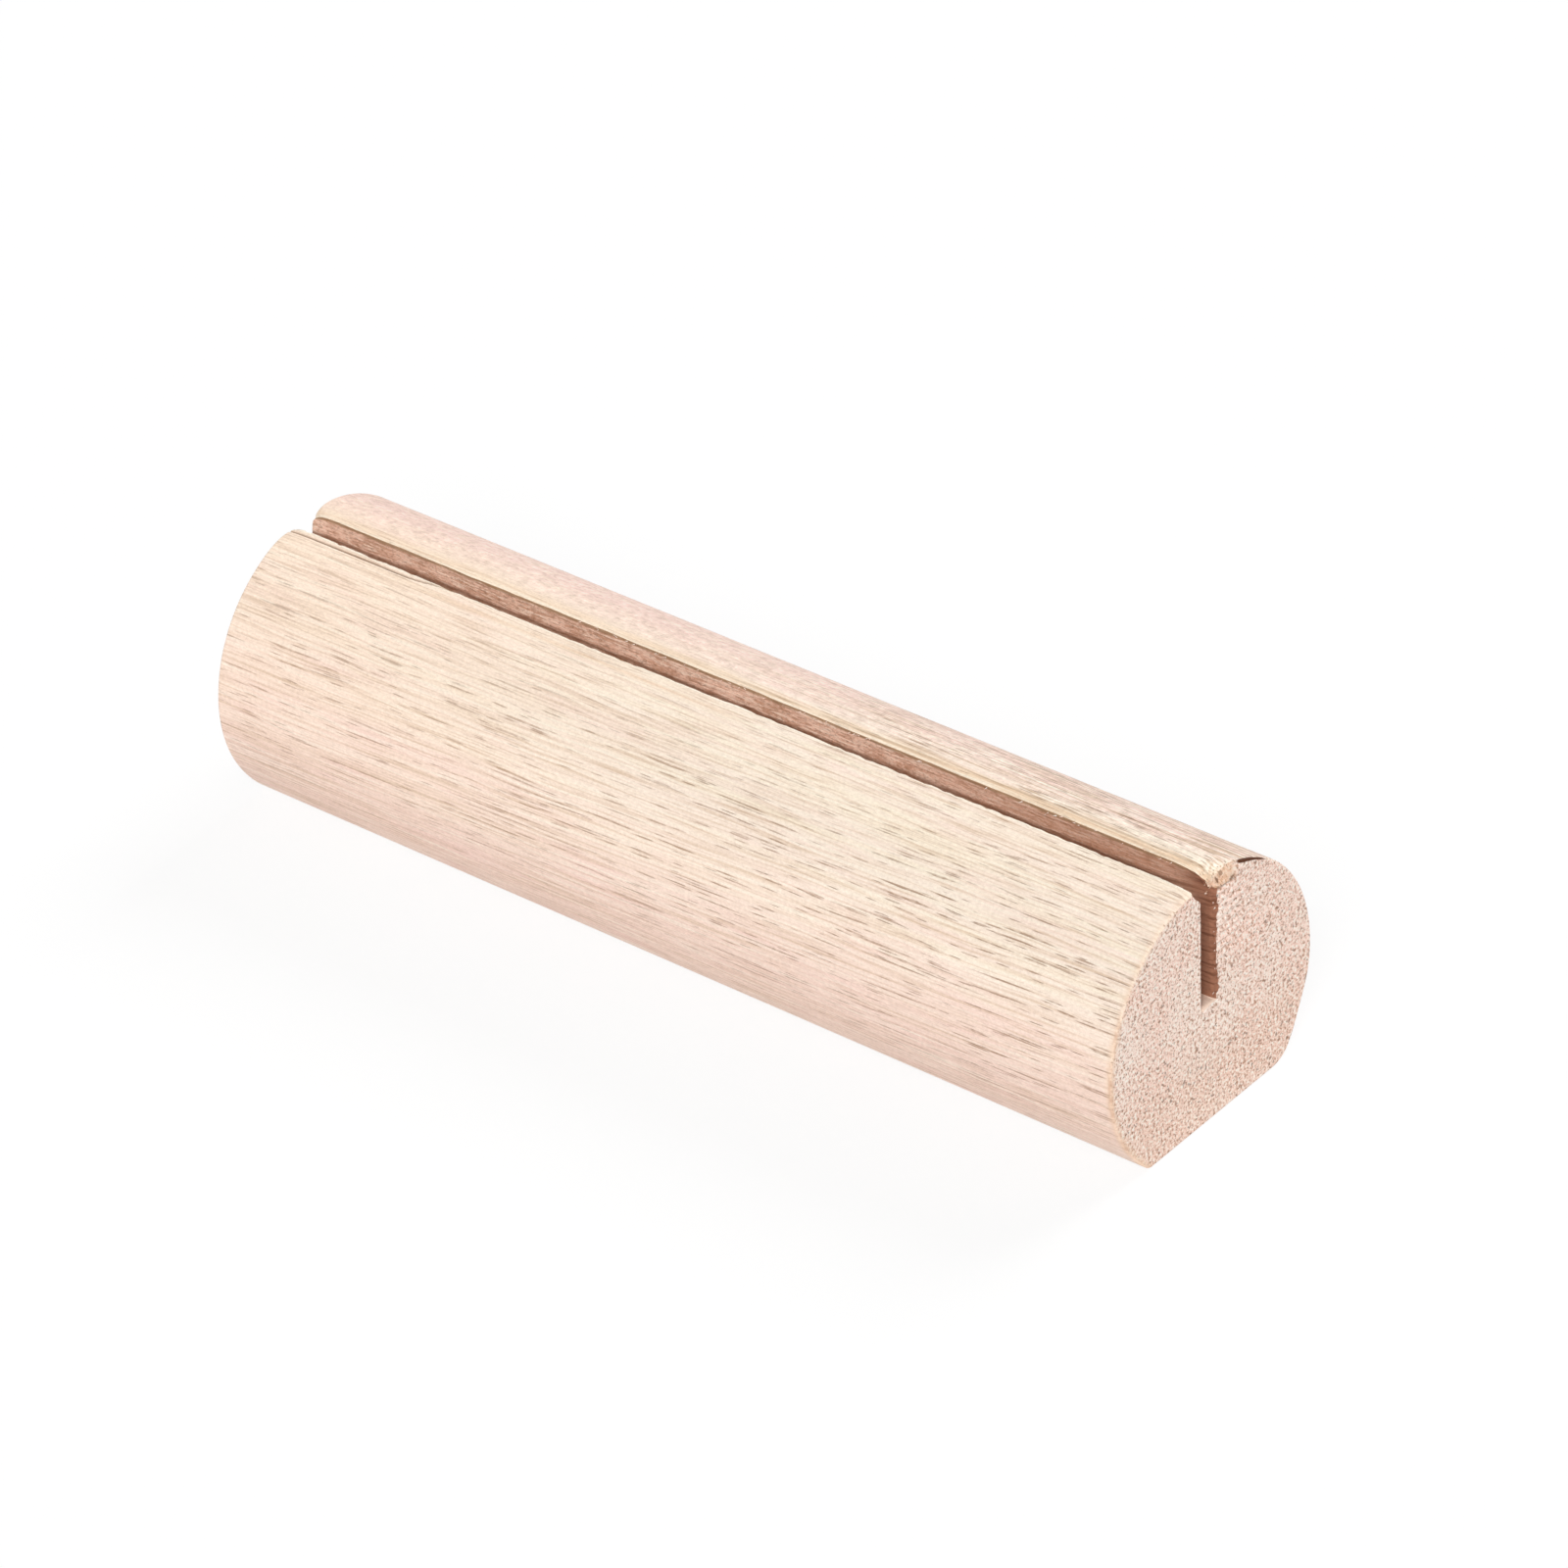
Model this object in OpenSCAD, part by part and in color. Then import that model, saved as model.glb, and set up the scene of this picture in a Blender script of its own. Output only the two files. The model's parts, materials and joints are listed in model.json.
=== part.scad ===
// Place card holder: a short round wooden bar with a flat base and a slot sawn along its top,
// in which a card stands on its edge. It is one piece of wood.
// Millimetres. X runs along the bar, -Y is its front, and Z = 0 is the face it stands on.

/* [Bar] */
// Length of the bar from end to end
bar_length = 100; // [50:1:300]
// Diameter of the round, before its base is cut flat
bar_diameter = 28; // [25:0.5:46]
// Height of the bar from its flat base to the top of the round
bar_height = 24.5; // [17:0.5:27]

/* [Slot] */
// Width of the slot, which is one pass of the saw
slot_width = 1.9; // [0.8:0.1:5]
// Depth of the slot below the top of the round
slot_depth = 12.8; // [5:0.1:20]
// How far the middle of the slot lies in front of the bar's centre line
slot_offset = 1.1; // [0:0.1:4]
// How far the slot strays by the time it reaches each end: backwards at the right, forwards at the left
slot_drift = 0.2; // [0:0.1:3]

/* [Edges] */
// Width of the chamfer round the rim of each end
rim_ease = 0.4; // [0.1:0.1:2]
// Width of the chamfer along both lips of the slot, at the middle of the bar
lip_ease = 0.35; // [0.2:0.05:1]
// Radius of the rounding along the back edge of the base
base_back_radius = 3.4; // [0.5:0.1:8]
// Angle at which that rounding meets the base and the round, where sanding left a soft edge
meeting_angle = 8; // [4:1:20]
// Width of the chamfer along the other edges of the base
base_ease = 0.3; // [0.1:0.1:1.5]

/* [Hidden] */

// How far a cutting shape runs past the surface that it cuts
overrun = 1;
// Sides that a full circle is drawn with
$fn = 96;

radius = bar_diameter / 2;
half_length = bar_length / 2;
// Height of the middle of the round above the base
centre_z = bar_height - radius;
slot_floor_z = bar_height - slot_depth;
// Angle of the slot to the bar, seen from above
slot_angle = atan(slot_drift / half_length);

// Half the width of the round at a height above the base
function half_width(z) = sqrt(pow(radius, 2) - pow(z - centre_z, 2));

// Height of the round's upper surface at a distance from its centre line
function surface_z(y) = centre_z + sqrt(pow(radius, 2) - pow(y, 2));

// A shape drawn in Y and Z, cut right through the bar from end to end
module through_cut(past_end = overrun) {
    translate([-half_length - past_end, 0, 0])
        rotate([90, 0, 90])
            linear_extrude(bar_length + 2 * past_end)
                children();
}

// The round bar at its full length, with a chamfered rim at each end
module round_stock() {
    translate([-half_length, 0, centre_z])
        rotate([0, 90, 0]) {
            cylinder(h = rim_ease, r1 = radius - rim_ease, r2 = radius);
            translate([0, 0, rim_ease])
                cylinder(h = bar_length - 2 * rim_ease, r = radius);
            translate([0, 0, bar_length - rim_ease])
                cylinder(h = rim_ease, r1 = radius, r2 = radius - rim_ease);
        }
}

// All of the round that lies below the base
module base_cut() {
    through_cut()
        translate([-radius - overrun, -bar_diameter])
            square([bar_diameter + 2 * overrun, bar_diameter]);
}

// What a rounding takes off the back edge of the base, running nearly smoothly into the round
module base_back_cut() {
    r = base_back_radius;
    // Middle of the rounding, which crosses both the base and the round at the meeting angle
    rounding_z = r * cos(meeting_angle);
    between = sqrt(pow(radius, 2) + pow(r, 2) - 2 * radius * rounding_z);
    rounding_y = sqrt(pow(between, 2) - pow(centre_z - rounding_z, 2));
    outward = [rounding_y, rounding_z - centre_z] / between;
    past_round = [rounding_y, rounding_z] + outward * (r + overrun);
    through_cut()
        difference() {
            polygon([
                [rounding_y, rounding_z],
                past_round,
                [past_round.x, -overrun],
                [rounding_y, -overrun],
            ]);
            translate([rounding_y, rounding_z])
                circle(r = r);
        }
}

// What a narrow chamfer takes off the front edge of the base
module base_front_cut() {
    edge_y = -half_width(0);
    on_base = [edge_y + base_ease, 0];
    on_round = [-half_width(base_ease), base_ease];
    along = (on_round - on_base) / norm(on_round - on_base);
    through_cut()
        polygon([
            on_base - along * overrun,
            on_round + along * overrun,
            [edge_y - base_ease - overrun, -overrun],
        ]);
}

// What a narrow chamfer takes off the base where it meets the right end
module base_end_cut() {
    rotate([90, 0, 0])
        linear_extrude(bar_diameter + 2 * overrun, center = true)
            polygon([
                [half_length - base_ease - overrun, -overrun],
                [half_length + overrun, base_ease + overrun],
                [half_length + overrun, -overrun],
            ]);
}

// What the saw takes out: a straight slot, with a chamfered lip on each side
module slot_cut() {
    front_y = -slot_offset - slot_width / 2;
    back_y = -slot_offset + slot_width / 2;
    flare = lip_ease + overrun;
    rotate([0, 0, slot_angle])
        through_cut(overrun + slot_drift)
            polygon([
                [front_y, slot_floor_z],
                [back_y, slot_floor_z],
                [back_y, surface_z(back_y) - lip_ease],
                [back_y + flare, surface_z(back_y) + overrun],
                [front_y - flare, surface_z(front_y) + overrun],
                [front_y, surface_z(front_y) - lip_ease],
            ]);
}

module wooden_bar() {
    color("bisque")
        difference() {
            round_stock();
            base_cut();
            base_back_cut();
            base_front_cut();
            base_end_cut();
            mirror([1, 0, 0]) base_end_cut();
            slot_cut();
        }
}

wooden_bar();
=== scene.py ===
"""A place card holder of bare wood: the finished bar, its torn fibres and the studio that shows it.

The bar is swept by a Geometry Nodes tree from one outline across its length, then worn: soft lips, a leaning
facet, a torn edge, a crack and saw marks. Its finishes are node materials that read Object coordinates in
millimetres. Lengths in this file are millimetres unless a name says otherwise, and meshes are made in metres.
"""
import json
import logging
import math
from dataclasses import dataclass, field
from enum import Enum
from typing import Union

import bpy
from mathutils import Matrix, Vector


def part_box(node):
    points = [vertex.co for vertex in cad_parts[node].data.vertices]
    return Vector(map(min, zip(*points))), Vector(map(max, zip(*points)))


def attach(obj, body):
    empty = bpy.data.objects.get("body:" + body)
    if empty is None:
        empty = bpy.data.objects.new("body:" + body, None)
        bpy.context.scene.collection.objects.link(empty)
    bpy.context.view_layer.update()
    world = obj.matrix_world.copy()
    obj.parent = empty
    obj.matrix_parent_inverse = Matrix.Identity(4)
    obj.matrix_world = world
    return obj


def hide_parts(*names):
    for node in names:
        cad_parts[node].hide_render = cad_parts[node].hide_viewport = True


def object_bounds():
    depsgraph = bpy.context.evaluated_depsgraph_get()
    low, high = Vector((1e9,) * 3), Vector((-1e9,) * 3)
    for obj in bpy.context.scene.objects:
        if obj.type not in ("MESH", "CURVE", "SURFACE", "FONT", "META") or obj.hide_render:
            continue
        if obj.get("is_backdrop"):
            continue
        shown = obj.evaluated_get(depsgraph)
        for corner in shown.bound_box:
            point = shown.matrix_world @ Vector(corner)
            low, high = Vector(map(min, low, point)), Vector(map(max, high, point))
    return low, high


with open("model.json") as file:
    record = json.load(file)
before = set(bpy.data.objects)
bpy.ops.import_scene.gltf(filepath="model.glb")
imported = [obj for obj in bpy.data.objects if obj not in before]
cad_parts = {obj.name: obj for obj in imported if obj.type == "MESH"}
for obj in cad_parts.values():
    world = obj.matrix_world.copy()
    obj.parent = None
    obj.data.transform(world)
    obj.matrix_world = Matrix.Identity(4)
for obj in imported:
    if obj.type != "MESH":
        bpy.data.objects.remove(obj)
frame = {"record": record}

logging.basicConfig(level=logging.INFO, format="%(message)s")
log = logging.getLogger("place_card_holder")

MM = 0.001
BAR_NODE = "wooden_bar"
BODY = "root"
SLOT_MOUNT = "card_slot"
# Share of a seed that moves a pattern along X, Y and Z, so that no two seeds share a plane
SEED_TURNS = (1.0, 1.7, 2.3)
# Distance within which the swept skin's points are joined, in metres
JOIN_DISTANCE = 1e-6


def tone(red: int, green: int, blue: int) -> tuple[float, float, float, float]:
    """Turn a display colour into the linear colour that a shader takes.

    Args:
        red: Red from 0 to 255.
        green: Green from 0 to 255.
        blue: Blue from 0 to 255.

    Returns:
        Linear red, green, blue and a full alpha.
    """
    def linear(value: int) -> float:
        """Undo the display curve for one channel."""
        share = value / 255
        return share / 12.92 if share <= 0.04045 else ((share + 0.055) / 1.055) ** 2.4

    return linear(red), linear(green), linear(blue), 1.0


@dataclass(frozen=True)
class Signal:
    """A number or a vector on its way through a node tree."""

    graph: "Graph"
    socket: bpy.types.NodeSocket

    def __add__(self, other: "Operand") -> "Signal":
        """Return the sum."""
        return self.graph.math("ADD", self, other)

    def __radd__(self, other: "Operand") -> "Signal":
        """Return the sum."""
        return self.graph.math("ADD", other, self)

    def __sub__(self, other: "Operand") -> "Signal":
        """Return the difference."""
        return self.graph.math("SUBTRACT", self, other)

    def __rsub__(self, other: "Operand") -> "Signal":
        """Return the difference the other way round."""
        return self.graph.math("SUBTRACT", other, self)

    def __mul__(self, other: "Operand") -> "Signal":
        """Return the product."""
        return self.graph.math("MULTIPLY", self, other)

    def __rmul__(self, other: "Operand") -> "Signal":
        """Return the product."""
        return self.graph.math("MULTIPLY", other, self)

    def __truediv__(self, other: "Operand") -> "Signal":
        """Return the quotient."""
        return self.graph.math("DIVIDE", self, other)

    def __neg__(self) -> "Signal":
        """Return the value with its sign turned."""
        return self.graph.math("MULTIPLY", self, -1.0)


Operand = Union[Signal, float, tuple]


class Graph:
    """A node tree with a short call for each kind of node that the shape and the finishes share."""

    def __init__(self, tree: bpy.types.NodeTree) -> None:
        """Hold the tree that the nodes go into."""
        self.tree = tree

    def node(self, kind: str, inputs: dict, **settings: object) -> bpy.types.Node:
        """Add a node, set it up and feed its inputs.

        Args:
            kind: The node's type name.
            inputs: Signals or plain values by socket name or number.
            settings: The node's own properties.

        Returns:
            The new node.
        """
        node = self.tree.nodes.new(kind)
        for name, value in settings.items():
            setattr(node, name, value)
        for key, value in inputs.items():
            if isinstance(value, Signal):
                self.tree.links.new(value.socket, node.inputs[key])
            elif value is not None:
                node.inputs[key].default_value = value
        return node

    def signal(self, kind: str, inputs: dict, output: Union[int, str] = 0, **settings: object) -> Signal:
        """Add a node and return one of its outputs.

        Args:
            kind: The node's type name.
            inputs: Signals or plain values by socket name or number.
            output: Name or number of the output that is wanted.
            settings: The node's own properties.

        Returns:
            That output as a signal.
        """
        return Signal(self, self.node(kind, inputs, **settings).outputs[output])

    def math(self, operation: str, *values: Operand) -> Signal:
        """Return a sum on up to three numbers."""
        return self.signal("ShaderNodeMath", dict(enumerate(values)), operation=operation)

    def clamp(self, value: Operand, low: Operand = 0.0, high: Operand = 1.0) -> Signal:
        """Return the value held between two others."""
        return self.signal("ShaderNodeClamp", {0: value, 1: low, 2: high})

    def smooth(self, value: Operand, low: Operand, high: Operand) -> Signal:
        """Return a soft step from 0 at the low value to 1 at the high one."""
        inputs = {"Value": value, "From Min": low, "From Max": high}
        return self.signal("ShaderNodeMapRange", inputs, interpolation_type="SMOOTHSTEP")

    def bell(self, value: Operand, centre: Operand, width: Operand) -> Signal:
        """Return a hump that is 1 at its centre and falls off over a width to either side."""
        reach = self.math("ABSOLUTE", self.math("SUBTRACT", value, centre))
        return 1.0 - self.smooth(reach, 0.0, width)

    def fade(self, distance: Signal, reach: float) -> Signal:
        """Return a strength that is 1 at no distance and dies away, to about a third over each reach."""
        return self.math("EXPONENT", -distance / reach)

    def blend(self, share: Operand, first: Operand, second: Operand) -> Signal:
        """Return a number between two others: the first at a share of 0, the second at 1."""
        return self.math("MULTIPLY_ADD", self.math("SUBTRACT", second, first), share, first)

    def vector(self, x: Operand, y: Operand, z: Operand) -> Signal:
        """Return a vector made of three numbers."""
        return self.signal("ShaderNodeCombineXYZ", {0: x, 1: y, 2: z})

    def split(self, vector: Signal) -> tuple[Signal, Signal, Signal]:
        """Return the three numbers of a vector."""
        node = self.node("ShaderNodeSeparateXYZ", {0: vector})
        return tuple(Signal(self, node.outputs[axis]) for axis in range(3))

    def vector_math(self, operation: str, *values: Operand) -> Signal:
        """Return a vector sum on up to three vectors."""
        return self.signal("ShaderNodeVectorMath", dict(enumerate(values)), operation=operation)

    def scaled(self, vector: Operand, scale: Operand) -> Signal:
        """Return a vector made longer or shorter."""
        return self.signal("ShaderNodeVectorMath", {0: vector, "Scale": scale}, operation="SCALE")

    def store(self, geometry: Signal, name: str, value: Signal) -> Signal:
        """Return geometry whose points carry a named value."""
        inputs = {"Geometry": geometry, "Name": name, "Value": value}
        return self.signal("GeometryNodeStoreNamedAttribute", inputs, data_type="FLOAT", domain="POINT")

    def mix(self, share: Operand, first: Operand, second: Operand, blend: str = "MIX") -> Signal:
        """Return a colour between two others, or one laid on the other."""
        inputs = {0: share, 6: first, 7: second}
        return self.signal("ShaderNodeMix", inputs, 2, data_type="RGBA", blend_type=blend)


class Spot:
    """A point of the bar, in millimetres, at which a finish or the wear is worked out."""

    def __init__(self, graph: Graph, place: Signal) -> None:
        """Hold a place that is given in metres."""
        self.graph = graph
        self.place = graph.scaled(place, 1 / MM)
        self.x, self.y, self.z = graph.split(self.place)

    def shader_mark(self, name: str) -> Signal:
        """Return a value that the mesh carries, for a material."""
        return self.graph.signal("ShaderNodeAttribute", {}, "Fac", attribute_name=name)

    def mesh_mark(self, name: str) -> Signal:
        """Return a value that the mesh carries, for a Geometry Nodes tree."""
        return self.graph.signal("GeometryNodeInputNamedAttribute", {"Name": name}, data_type="FLOAT")


def seeded(place: Signal, size: tuple, seed: float) -> Signal:
    """Return a place counted in lumps of a size, and moved off by a seed so that it gives another pattern."""
    counted = place.graph.vector_math("DIVIDE", place, size)
    return place.graph.vector_math("ADD", counted, tuple(seed * turn for turn in SEED_TURNS))


@dataclass(frozen=True)
class Cloud:
    """Soft noise of about 0 to 1, whose lumps have a size along X, Y and Z.

    Detail is how many finer layers it has, rough is how strong they are, and the seed picks the pattern.
    """

    size: tuple
    detail: float = 2.0
    rough: float = 0.5
    seed: float = 0.0

    def at(self, place: Signal) -> Signal:
        """Return the noise at a place."""
        inputs = {"Vector": seeded(place, self.size, self.seed), "Scale": 1.0, "Detail": self.detail}
        return place.graph.signal("ShaderNodeTexNoise", {**inputs, "Roughness": self.rough})

    def swing(self, place: Signal) -> Signal:
        """Return the noise less its middle value, so that it lies about 0."""
        return self.at(place) - 0.5


@dataclass(frozen=True)
class Step:
    """A soft step in a mark's strength, from 0 at its start to its share at its end, or down if it falls."""

    start: float
    end: float
    share: float = 1.0
    falls: bool = False

    def at(self, value: Signal) -> Signal:
        """Return the strength at a value.

        Args:
            value: The value that the step is measured along.

        Returns:
            The strength.
        """
        strength = value.graph.smooth(value, self.start, self.end)
        if self.falls:
            strength = 1.0 - strength
        return strength if self.share == 1.0 else strength * self.share


@dataclass(frozen=True)
class Hump:
    """A soft hump in a mark's strength, which is 1 at its middle and 0 a width away to either side."""

    middle: float
    width: float

    def at(self, value: Signal) -> Signal:
        """Return the strength at a value."""
        return value.graph.bell(value, self.middle, self.width)


@dataclass(frozen=True)
class Level:
    """A straight rule: a strength where a value is 0, and what it gains by where that is 1."""

    base: float
    gain: float

    def at(self, value: Signal) -> Signal:
        """Return the strength at a value."""
        return value * self.gain + self.base


@dataclass(frozen=True)
class Coat:
    """A colour laid over the wood wherever a value has passed a soft step."""

    colour: tuple
    step: Step

    def over(self, base: Operand, value: Signal) -> Signal:
        """Return a colour with the coat over it, as strong as the step is at a value."""
        return value.graph.mix(self.step.at(value), base, self.colour)


@dataclass(frozen=True)
class Dashes:
    """Spindles scattered through space, 1 at their middles and 0 between them.

    The size is their spacing along X, Y and Z, which also stretches them. The reach is the radius of the
    largest as a share of that spacing, the sizes are how the others compare, and the core is full strength.
    """

    size: tuple
    reach: float
    seed: float
    sizes: Level = Level(0.4, 0.6)
    core: float = 0.55

    def at(self, place: Signal) -> Signal:
        """Return the spindles' strength at a place.

        Args:
            place: Where they are read, in millimetres.

        Returns:
            The strength.
        """
        graph = place.graph
        inputs = {"Vector": seeded(place, self.size, self.seed), "Scale": 1.0, "Randomness": 1.0}
        node = graph.node("ShaderNodeTexVoronoi", inputs)
        chance, _, _ = graph.split(Signal(graph, node.outputs["Color"]))
        limit = self.sizes.at(chance) * self.reach
        return 1.0 - graph.smooth(Signal(graph, node.outputs["Distance"]), limit * self.core, limit)


class Finish(Enum):
    """The three ways in which the bar's wood is cut."""

    SIDE = "sanded_side_grain"
    END = "sawn_end_grain"
    SLOT = "sawn_slot_wall"


@dataclass(frozen=True)
class WoodFinish:
    """A finish of the bar's wood: a node material made from a rule for its colour and its relief."""

    kind: Finish
    roughness: float
    gloss: float

    def rule(self, spot: Spot) -> tuple[Signal, Signal]:
        """Return the colour, and the relief's height in millimetres, at a point of the bar."""
        raise NotImplementedError(self.kind)

    def make(self) -> bpy.types.Material:
        """Make the material.

        Returns:
            The material.
        """
        material = bpy.data.materials.new(self.kind.value)
        material.use_nodes = True
        material.node_tree.nodes.clear()
        graph = Graph(material.node_tree)
        colour, height = self.rule(Spot(graph, graph.signal("ShaderNodeTexCoord", {}, "Object")))
        bump = graph.signal("ShaderNodeBump", {"Strength": 1.0, "Distance": MM, "Height": height})
        inputs = {"Base Color": colour, "Roughness": self.roughness, "Normal": bump}
        shader = graph.signal("ShaderNodeBsdfPrincipled", {**inputs, "Specular IOR Level": self.gloss})
        graph.node("ShaderNodeOutputMaterial", {"Surface": shader})
        return material


@dataclass(frozen=True)
class NearRim:
    """The marks round the right end's rim: a tan band with darker spots, and a dark line along its upper
    back.
    """

    half_length: float
    radius: float = 14.0
    centre_z: float = 10.5
    ragged: Cloud = Cloud((0.6, 0.8, 0.8), 3.0, 0.6, 29.0)
    patches: Cloud = Cloud((2.5, 2.8, 2.8), 1.0, seed=33.0)
    front: Step = Step(2.6, 4.2, falls=True)
    rim_wander: float = 0.5
    glow: tuple = tone(244, 210, 180)
    glow_band: Step = Step(0.10, 0.80, falls=True)
    glow_low: Step = Step(12.0, 22.0, 0.30, falls=True)
    glow_patchy: float = 0.55
    brown_tone: tuple = tone(206, 164, 136)
    dark_share: float = 0.65
    dark_band: Step = Step(0.10, 0.45, falls=True)
    scorch_foot: Step = Step(0.5, 3.0)
    scorch_top: Step = Step(16.0, 21.5, falls=True)
    scorch_spots: Step = Step(0.10, 0.30)
    scorch_patchy: float = 0.4
    # A dark line painted along the rim's upper back; no split is cut in the wood there.
    split: tuple = tone(92, 52, 30)
    split_start: float = 3.7
    split_length: float = 4.9
    split_opens: Step = Step(3.4, 3.8)
    split_closes: Step = Step(7.4, 8.6, falls=True)
    split_above: Step = Step(14.0, 16.0)
    split_inset: float = 0.12
    split_width: float = 0.36
    split_taper: float = 0.26
    split_core: float = 0.6
    split_wander: float = 0.08

    def paint(self, spot: Spot, colour: Signal) -> Signal:
        """Lay the marks on a colour.

        Args:
            spot: The point of the bar.
            colour: The colour without them.

        Returns:
            The colour with them.
        """
        graph = spot.graph
        up = spot.z - self.centre_z
        away = graph.math("SQRT", spot.y * spot.y + up * up)
        inward = self.half_length - spot.x
        ragged = self.ragged.swing(spot.place)
        patches = self.patches.at(spot.place)
        from_rim = graph.math("ABSOLUTE", inward - (self.radius - away)) + ragged * self.rim_wander
        front = self.front.at(spot.y)
        glow = self.glow_band.at(from_rim) * front * (patches * self.glow_patchy + self.glow_low.at(spot.z))
        colour = graph.mix(graph.clamp(glow), colour, self.glow)
        spots = self.dark_band.at(from_rim) * front * self.scorch_foot.at(spot.z)
        spots = spots * self.scorch_top.at(spot.z)
        spots = spots * self.scorch_spots.at(ragged + patches * self.scorch_patchy)
        colour = graph.mix(spots * self.dark_share, colour, self.brown_tone)
        gap = self.radius - self.split_inset - away
        gap = graph.math("SQRT", gap * gap + inward * inward)
        done = graph.clamp((spot.y - self.split_start) / self.split_length)
        thick = self.split_width - done * self.split_taper
        ends = self.split_opens.at(spot.y) * self.split_closes.at(spot.y) * self.split_above.at(spot.z)
        line = 1.0 - graph.smooth(gap + ragged * self.split_wander, thick * self.split_core, thick)
        return graph.mix(line * ends, colour, self.split)


@dataclass(frozen=True)
class GroundColour:
    """The side's colour without its pores: cream above, and pink below and behind the slot; the pink below is
    partly painted shade, and painted light makes the foot paler.
    """

    body: tuple = tone(250, 231, 214)
    bands: Cloud = Cloud((60.0, 1.3, 1.3), 3.0, 0.6, 1.0)
    cream: Coat = Coat(tone(251, 236, 213), Step(0.40, 0.66, 0.8))
    warm: Coat = Coat(tone(255, 230, 208), Step(-46.0, 8.0, 0.75, falls=True))
    # Painted light: the side paler along its foot, next to the floor.
    foot_light: Coat = Coat(tone(255, 231, 218), Step(0.0, 5.6, falls=True))
    zones: Cloud = Cloud((45.0, 6.0, 6.0), 1.0, seed=9.0)
    # Pink towards the bottom: partly the wood's own tone and partly painted shade.
    low: Step = Step(7.0, 21.0, falls=True)
    low_wander: float = 9.0
    low_pink_and_shade: tuple = tone(246, 215, 201)
    low_share: float = 0.9
    behind: Step = Step(1.6, 5.4)
    behind_wander: float = 6.0
    back_pink: tuple = tone(255, 224, 212)
    back_pinkness: float = 0.75
    flecks: Cloud = Cloud((2.0, 0.9, 0.9), 2.0, 0.6, 35.0)
    fleck_level: Level = Level(0.85, 2.4)
    patches: Cloud = Cloud((12.0, 2.2, 2.2), 3.0, 0.6, 5.0)
    patch_step: Step = Step(0.48, 0.70)
    patch_level: Level = Level(0.25, 0.35)
    blush: tuple = tone(248, 213, 202)

    def paint(self, spot: Spot, grain: Signal) -> Signal:
        """Work out the colour.

        Args:
            spot: The point of the bar.
            grain: Its coordinates along the grain.

        Returns:
            The colour.
        """
        graph = spot.graph
        zone = self.zones.swing(spot.place)
        low = self.low.at(spot.z + zone * self.low_wander)
        behind = self.behind.at(spot.y + zone * self.behind_wander)
        pinkness = graph.clamp(low + behind * self.back_pinkness)
        colour = self.cream.over(self.body, self.bands.at(grain))
        colour = self.warm.over(colour, spot.x)
        # Partly the wood's pink and partly painted shade, towards the bottom.
        colour = graph.mix(low * self.low_share, colour, self.low_pink_and_shade)
        # Painted light: paler along the foot, next to the floor.
        colour = self.foot_light.over(colour, spot.z)
        flecks = graph.clamp(self.fleck_level.at(self.flecks.swing(spot.place)))
        colour = graph.mix(behind * flecks, colour, self.back_pink)
        patches = self.patch_step.at(self.patches.at(spot.place)) * self.patch_level.at(pinkness)
        return graph.mix(patches, colour, self.blush)


@dataclass(frozen=True)
class Pores:
    """The side's open pores, which show as short dark dashes, and the fine fibres between them."""

    bend: Cloud = Cloud((9.0, 2.0, 2.0), 1.0, seed=15.0)
    bend_reach: float = 0.3
    long_dashes: Dashes = Dashes((14.0, 0.32, 0.32), 0.36, 11.0)
    short_dashes: Dashes = Dashes((4.5, 0.26, 0.26), 0.36, 13.0)
    dash_share: float = 0.85
    breaks: Cloud = Cloud((0.9, 0.4, 0.4), 1.0, seed=33.0)
    break_step: Step = Step(0.34, 0.60)
    break_level: Level = Level(0.6, 0.5)
    swarms: Cloud = Cloud((22.0, 1.8, 1.8), seed=17.0)
    swarm_step: Step = Step(0.35, 0.65)
    swarm_level: Level = Level(0.85, 0.2)
    near: Step = Step(-20.0, 46.0)
    near_level: Level = Level(0.72, 0.30)
    above_foot: Step = Step(1.0, 12.0)
    top: Step = Step(21.0, 24.0)
    top_loss: float = 0.65
    top_regain: float = 0.4
    front_level: Level = Level(0.4, 0.6)
    behind: Step = Step(0.6, 2.0)
    behind_end: Step = Step(8.0, 13.0, falls=True)
    behind_level: Level = Level(0.15, 3.2)
    fibres: Cloud = Cloud((18.0, 0.20, 0.20), 1.0, 0.5, 7.0)
    fibre_level: Level = Level(-0.7, 2.0)

    def at(self, spot: Spot, grain: Signal) -> tuple[Signal, Signal]:
        """Work out how strongly the pores and the fibres show.

        Args:
            spot: The point of the bar.
            grain: Its coordinates along the grain.

        Returns:
            The pores' strength, and the fibres as a value about 0.
        """
        graph = spot.graph
        bend = self.bend.at(grain) * self.bend_reach
        bent = graph.vector_math("ADD", grain, graph.vector(0.0, bend, bend))
        near = self.near.at(spot.x)
        top_loss = self.top.at(spot.z) * (self.top_loss - near * self.top_regain)
        clear = self.above_foot.at(spot.z) * (1.0 - top_loss)
        behind = self.behind.at(spot.y) * self.behind_end.at(spot.y)
        level = graph.blend(behind, self.front_level.at(clear), self.behind_level.at(near * near))
        level = level * self.swarm_level.at(self.swarm_step.at(self.swarms.at(grain)))
        amount = graph.clamp(level * self.near_level.at(near))
        dashes = self.long_dashes.at(bent) * self.dash_share + self.short_dashes.at(bent) * self.dash_share
        dashes = dashes * self.break_level.at(self.break_step.at(self.breaks.at(spot.place)))
        fibres = self.fibres.swing(bent) * (1.0 + behind * self.fibre_level.at(near))
        return graph.clamp(dashes) * amount, fibres


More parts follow.
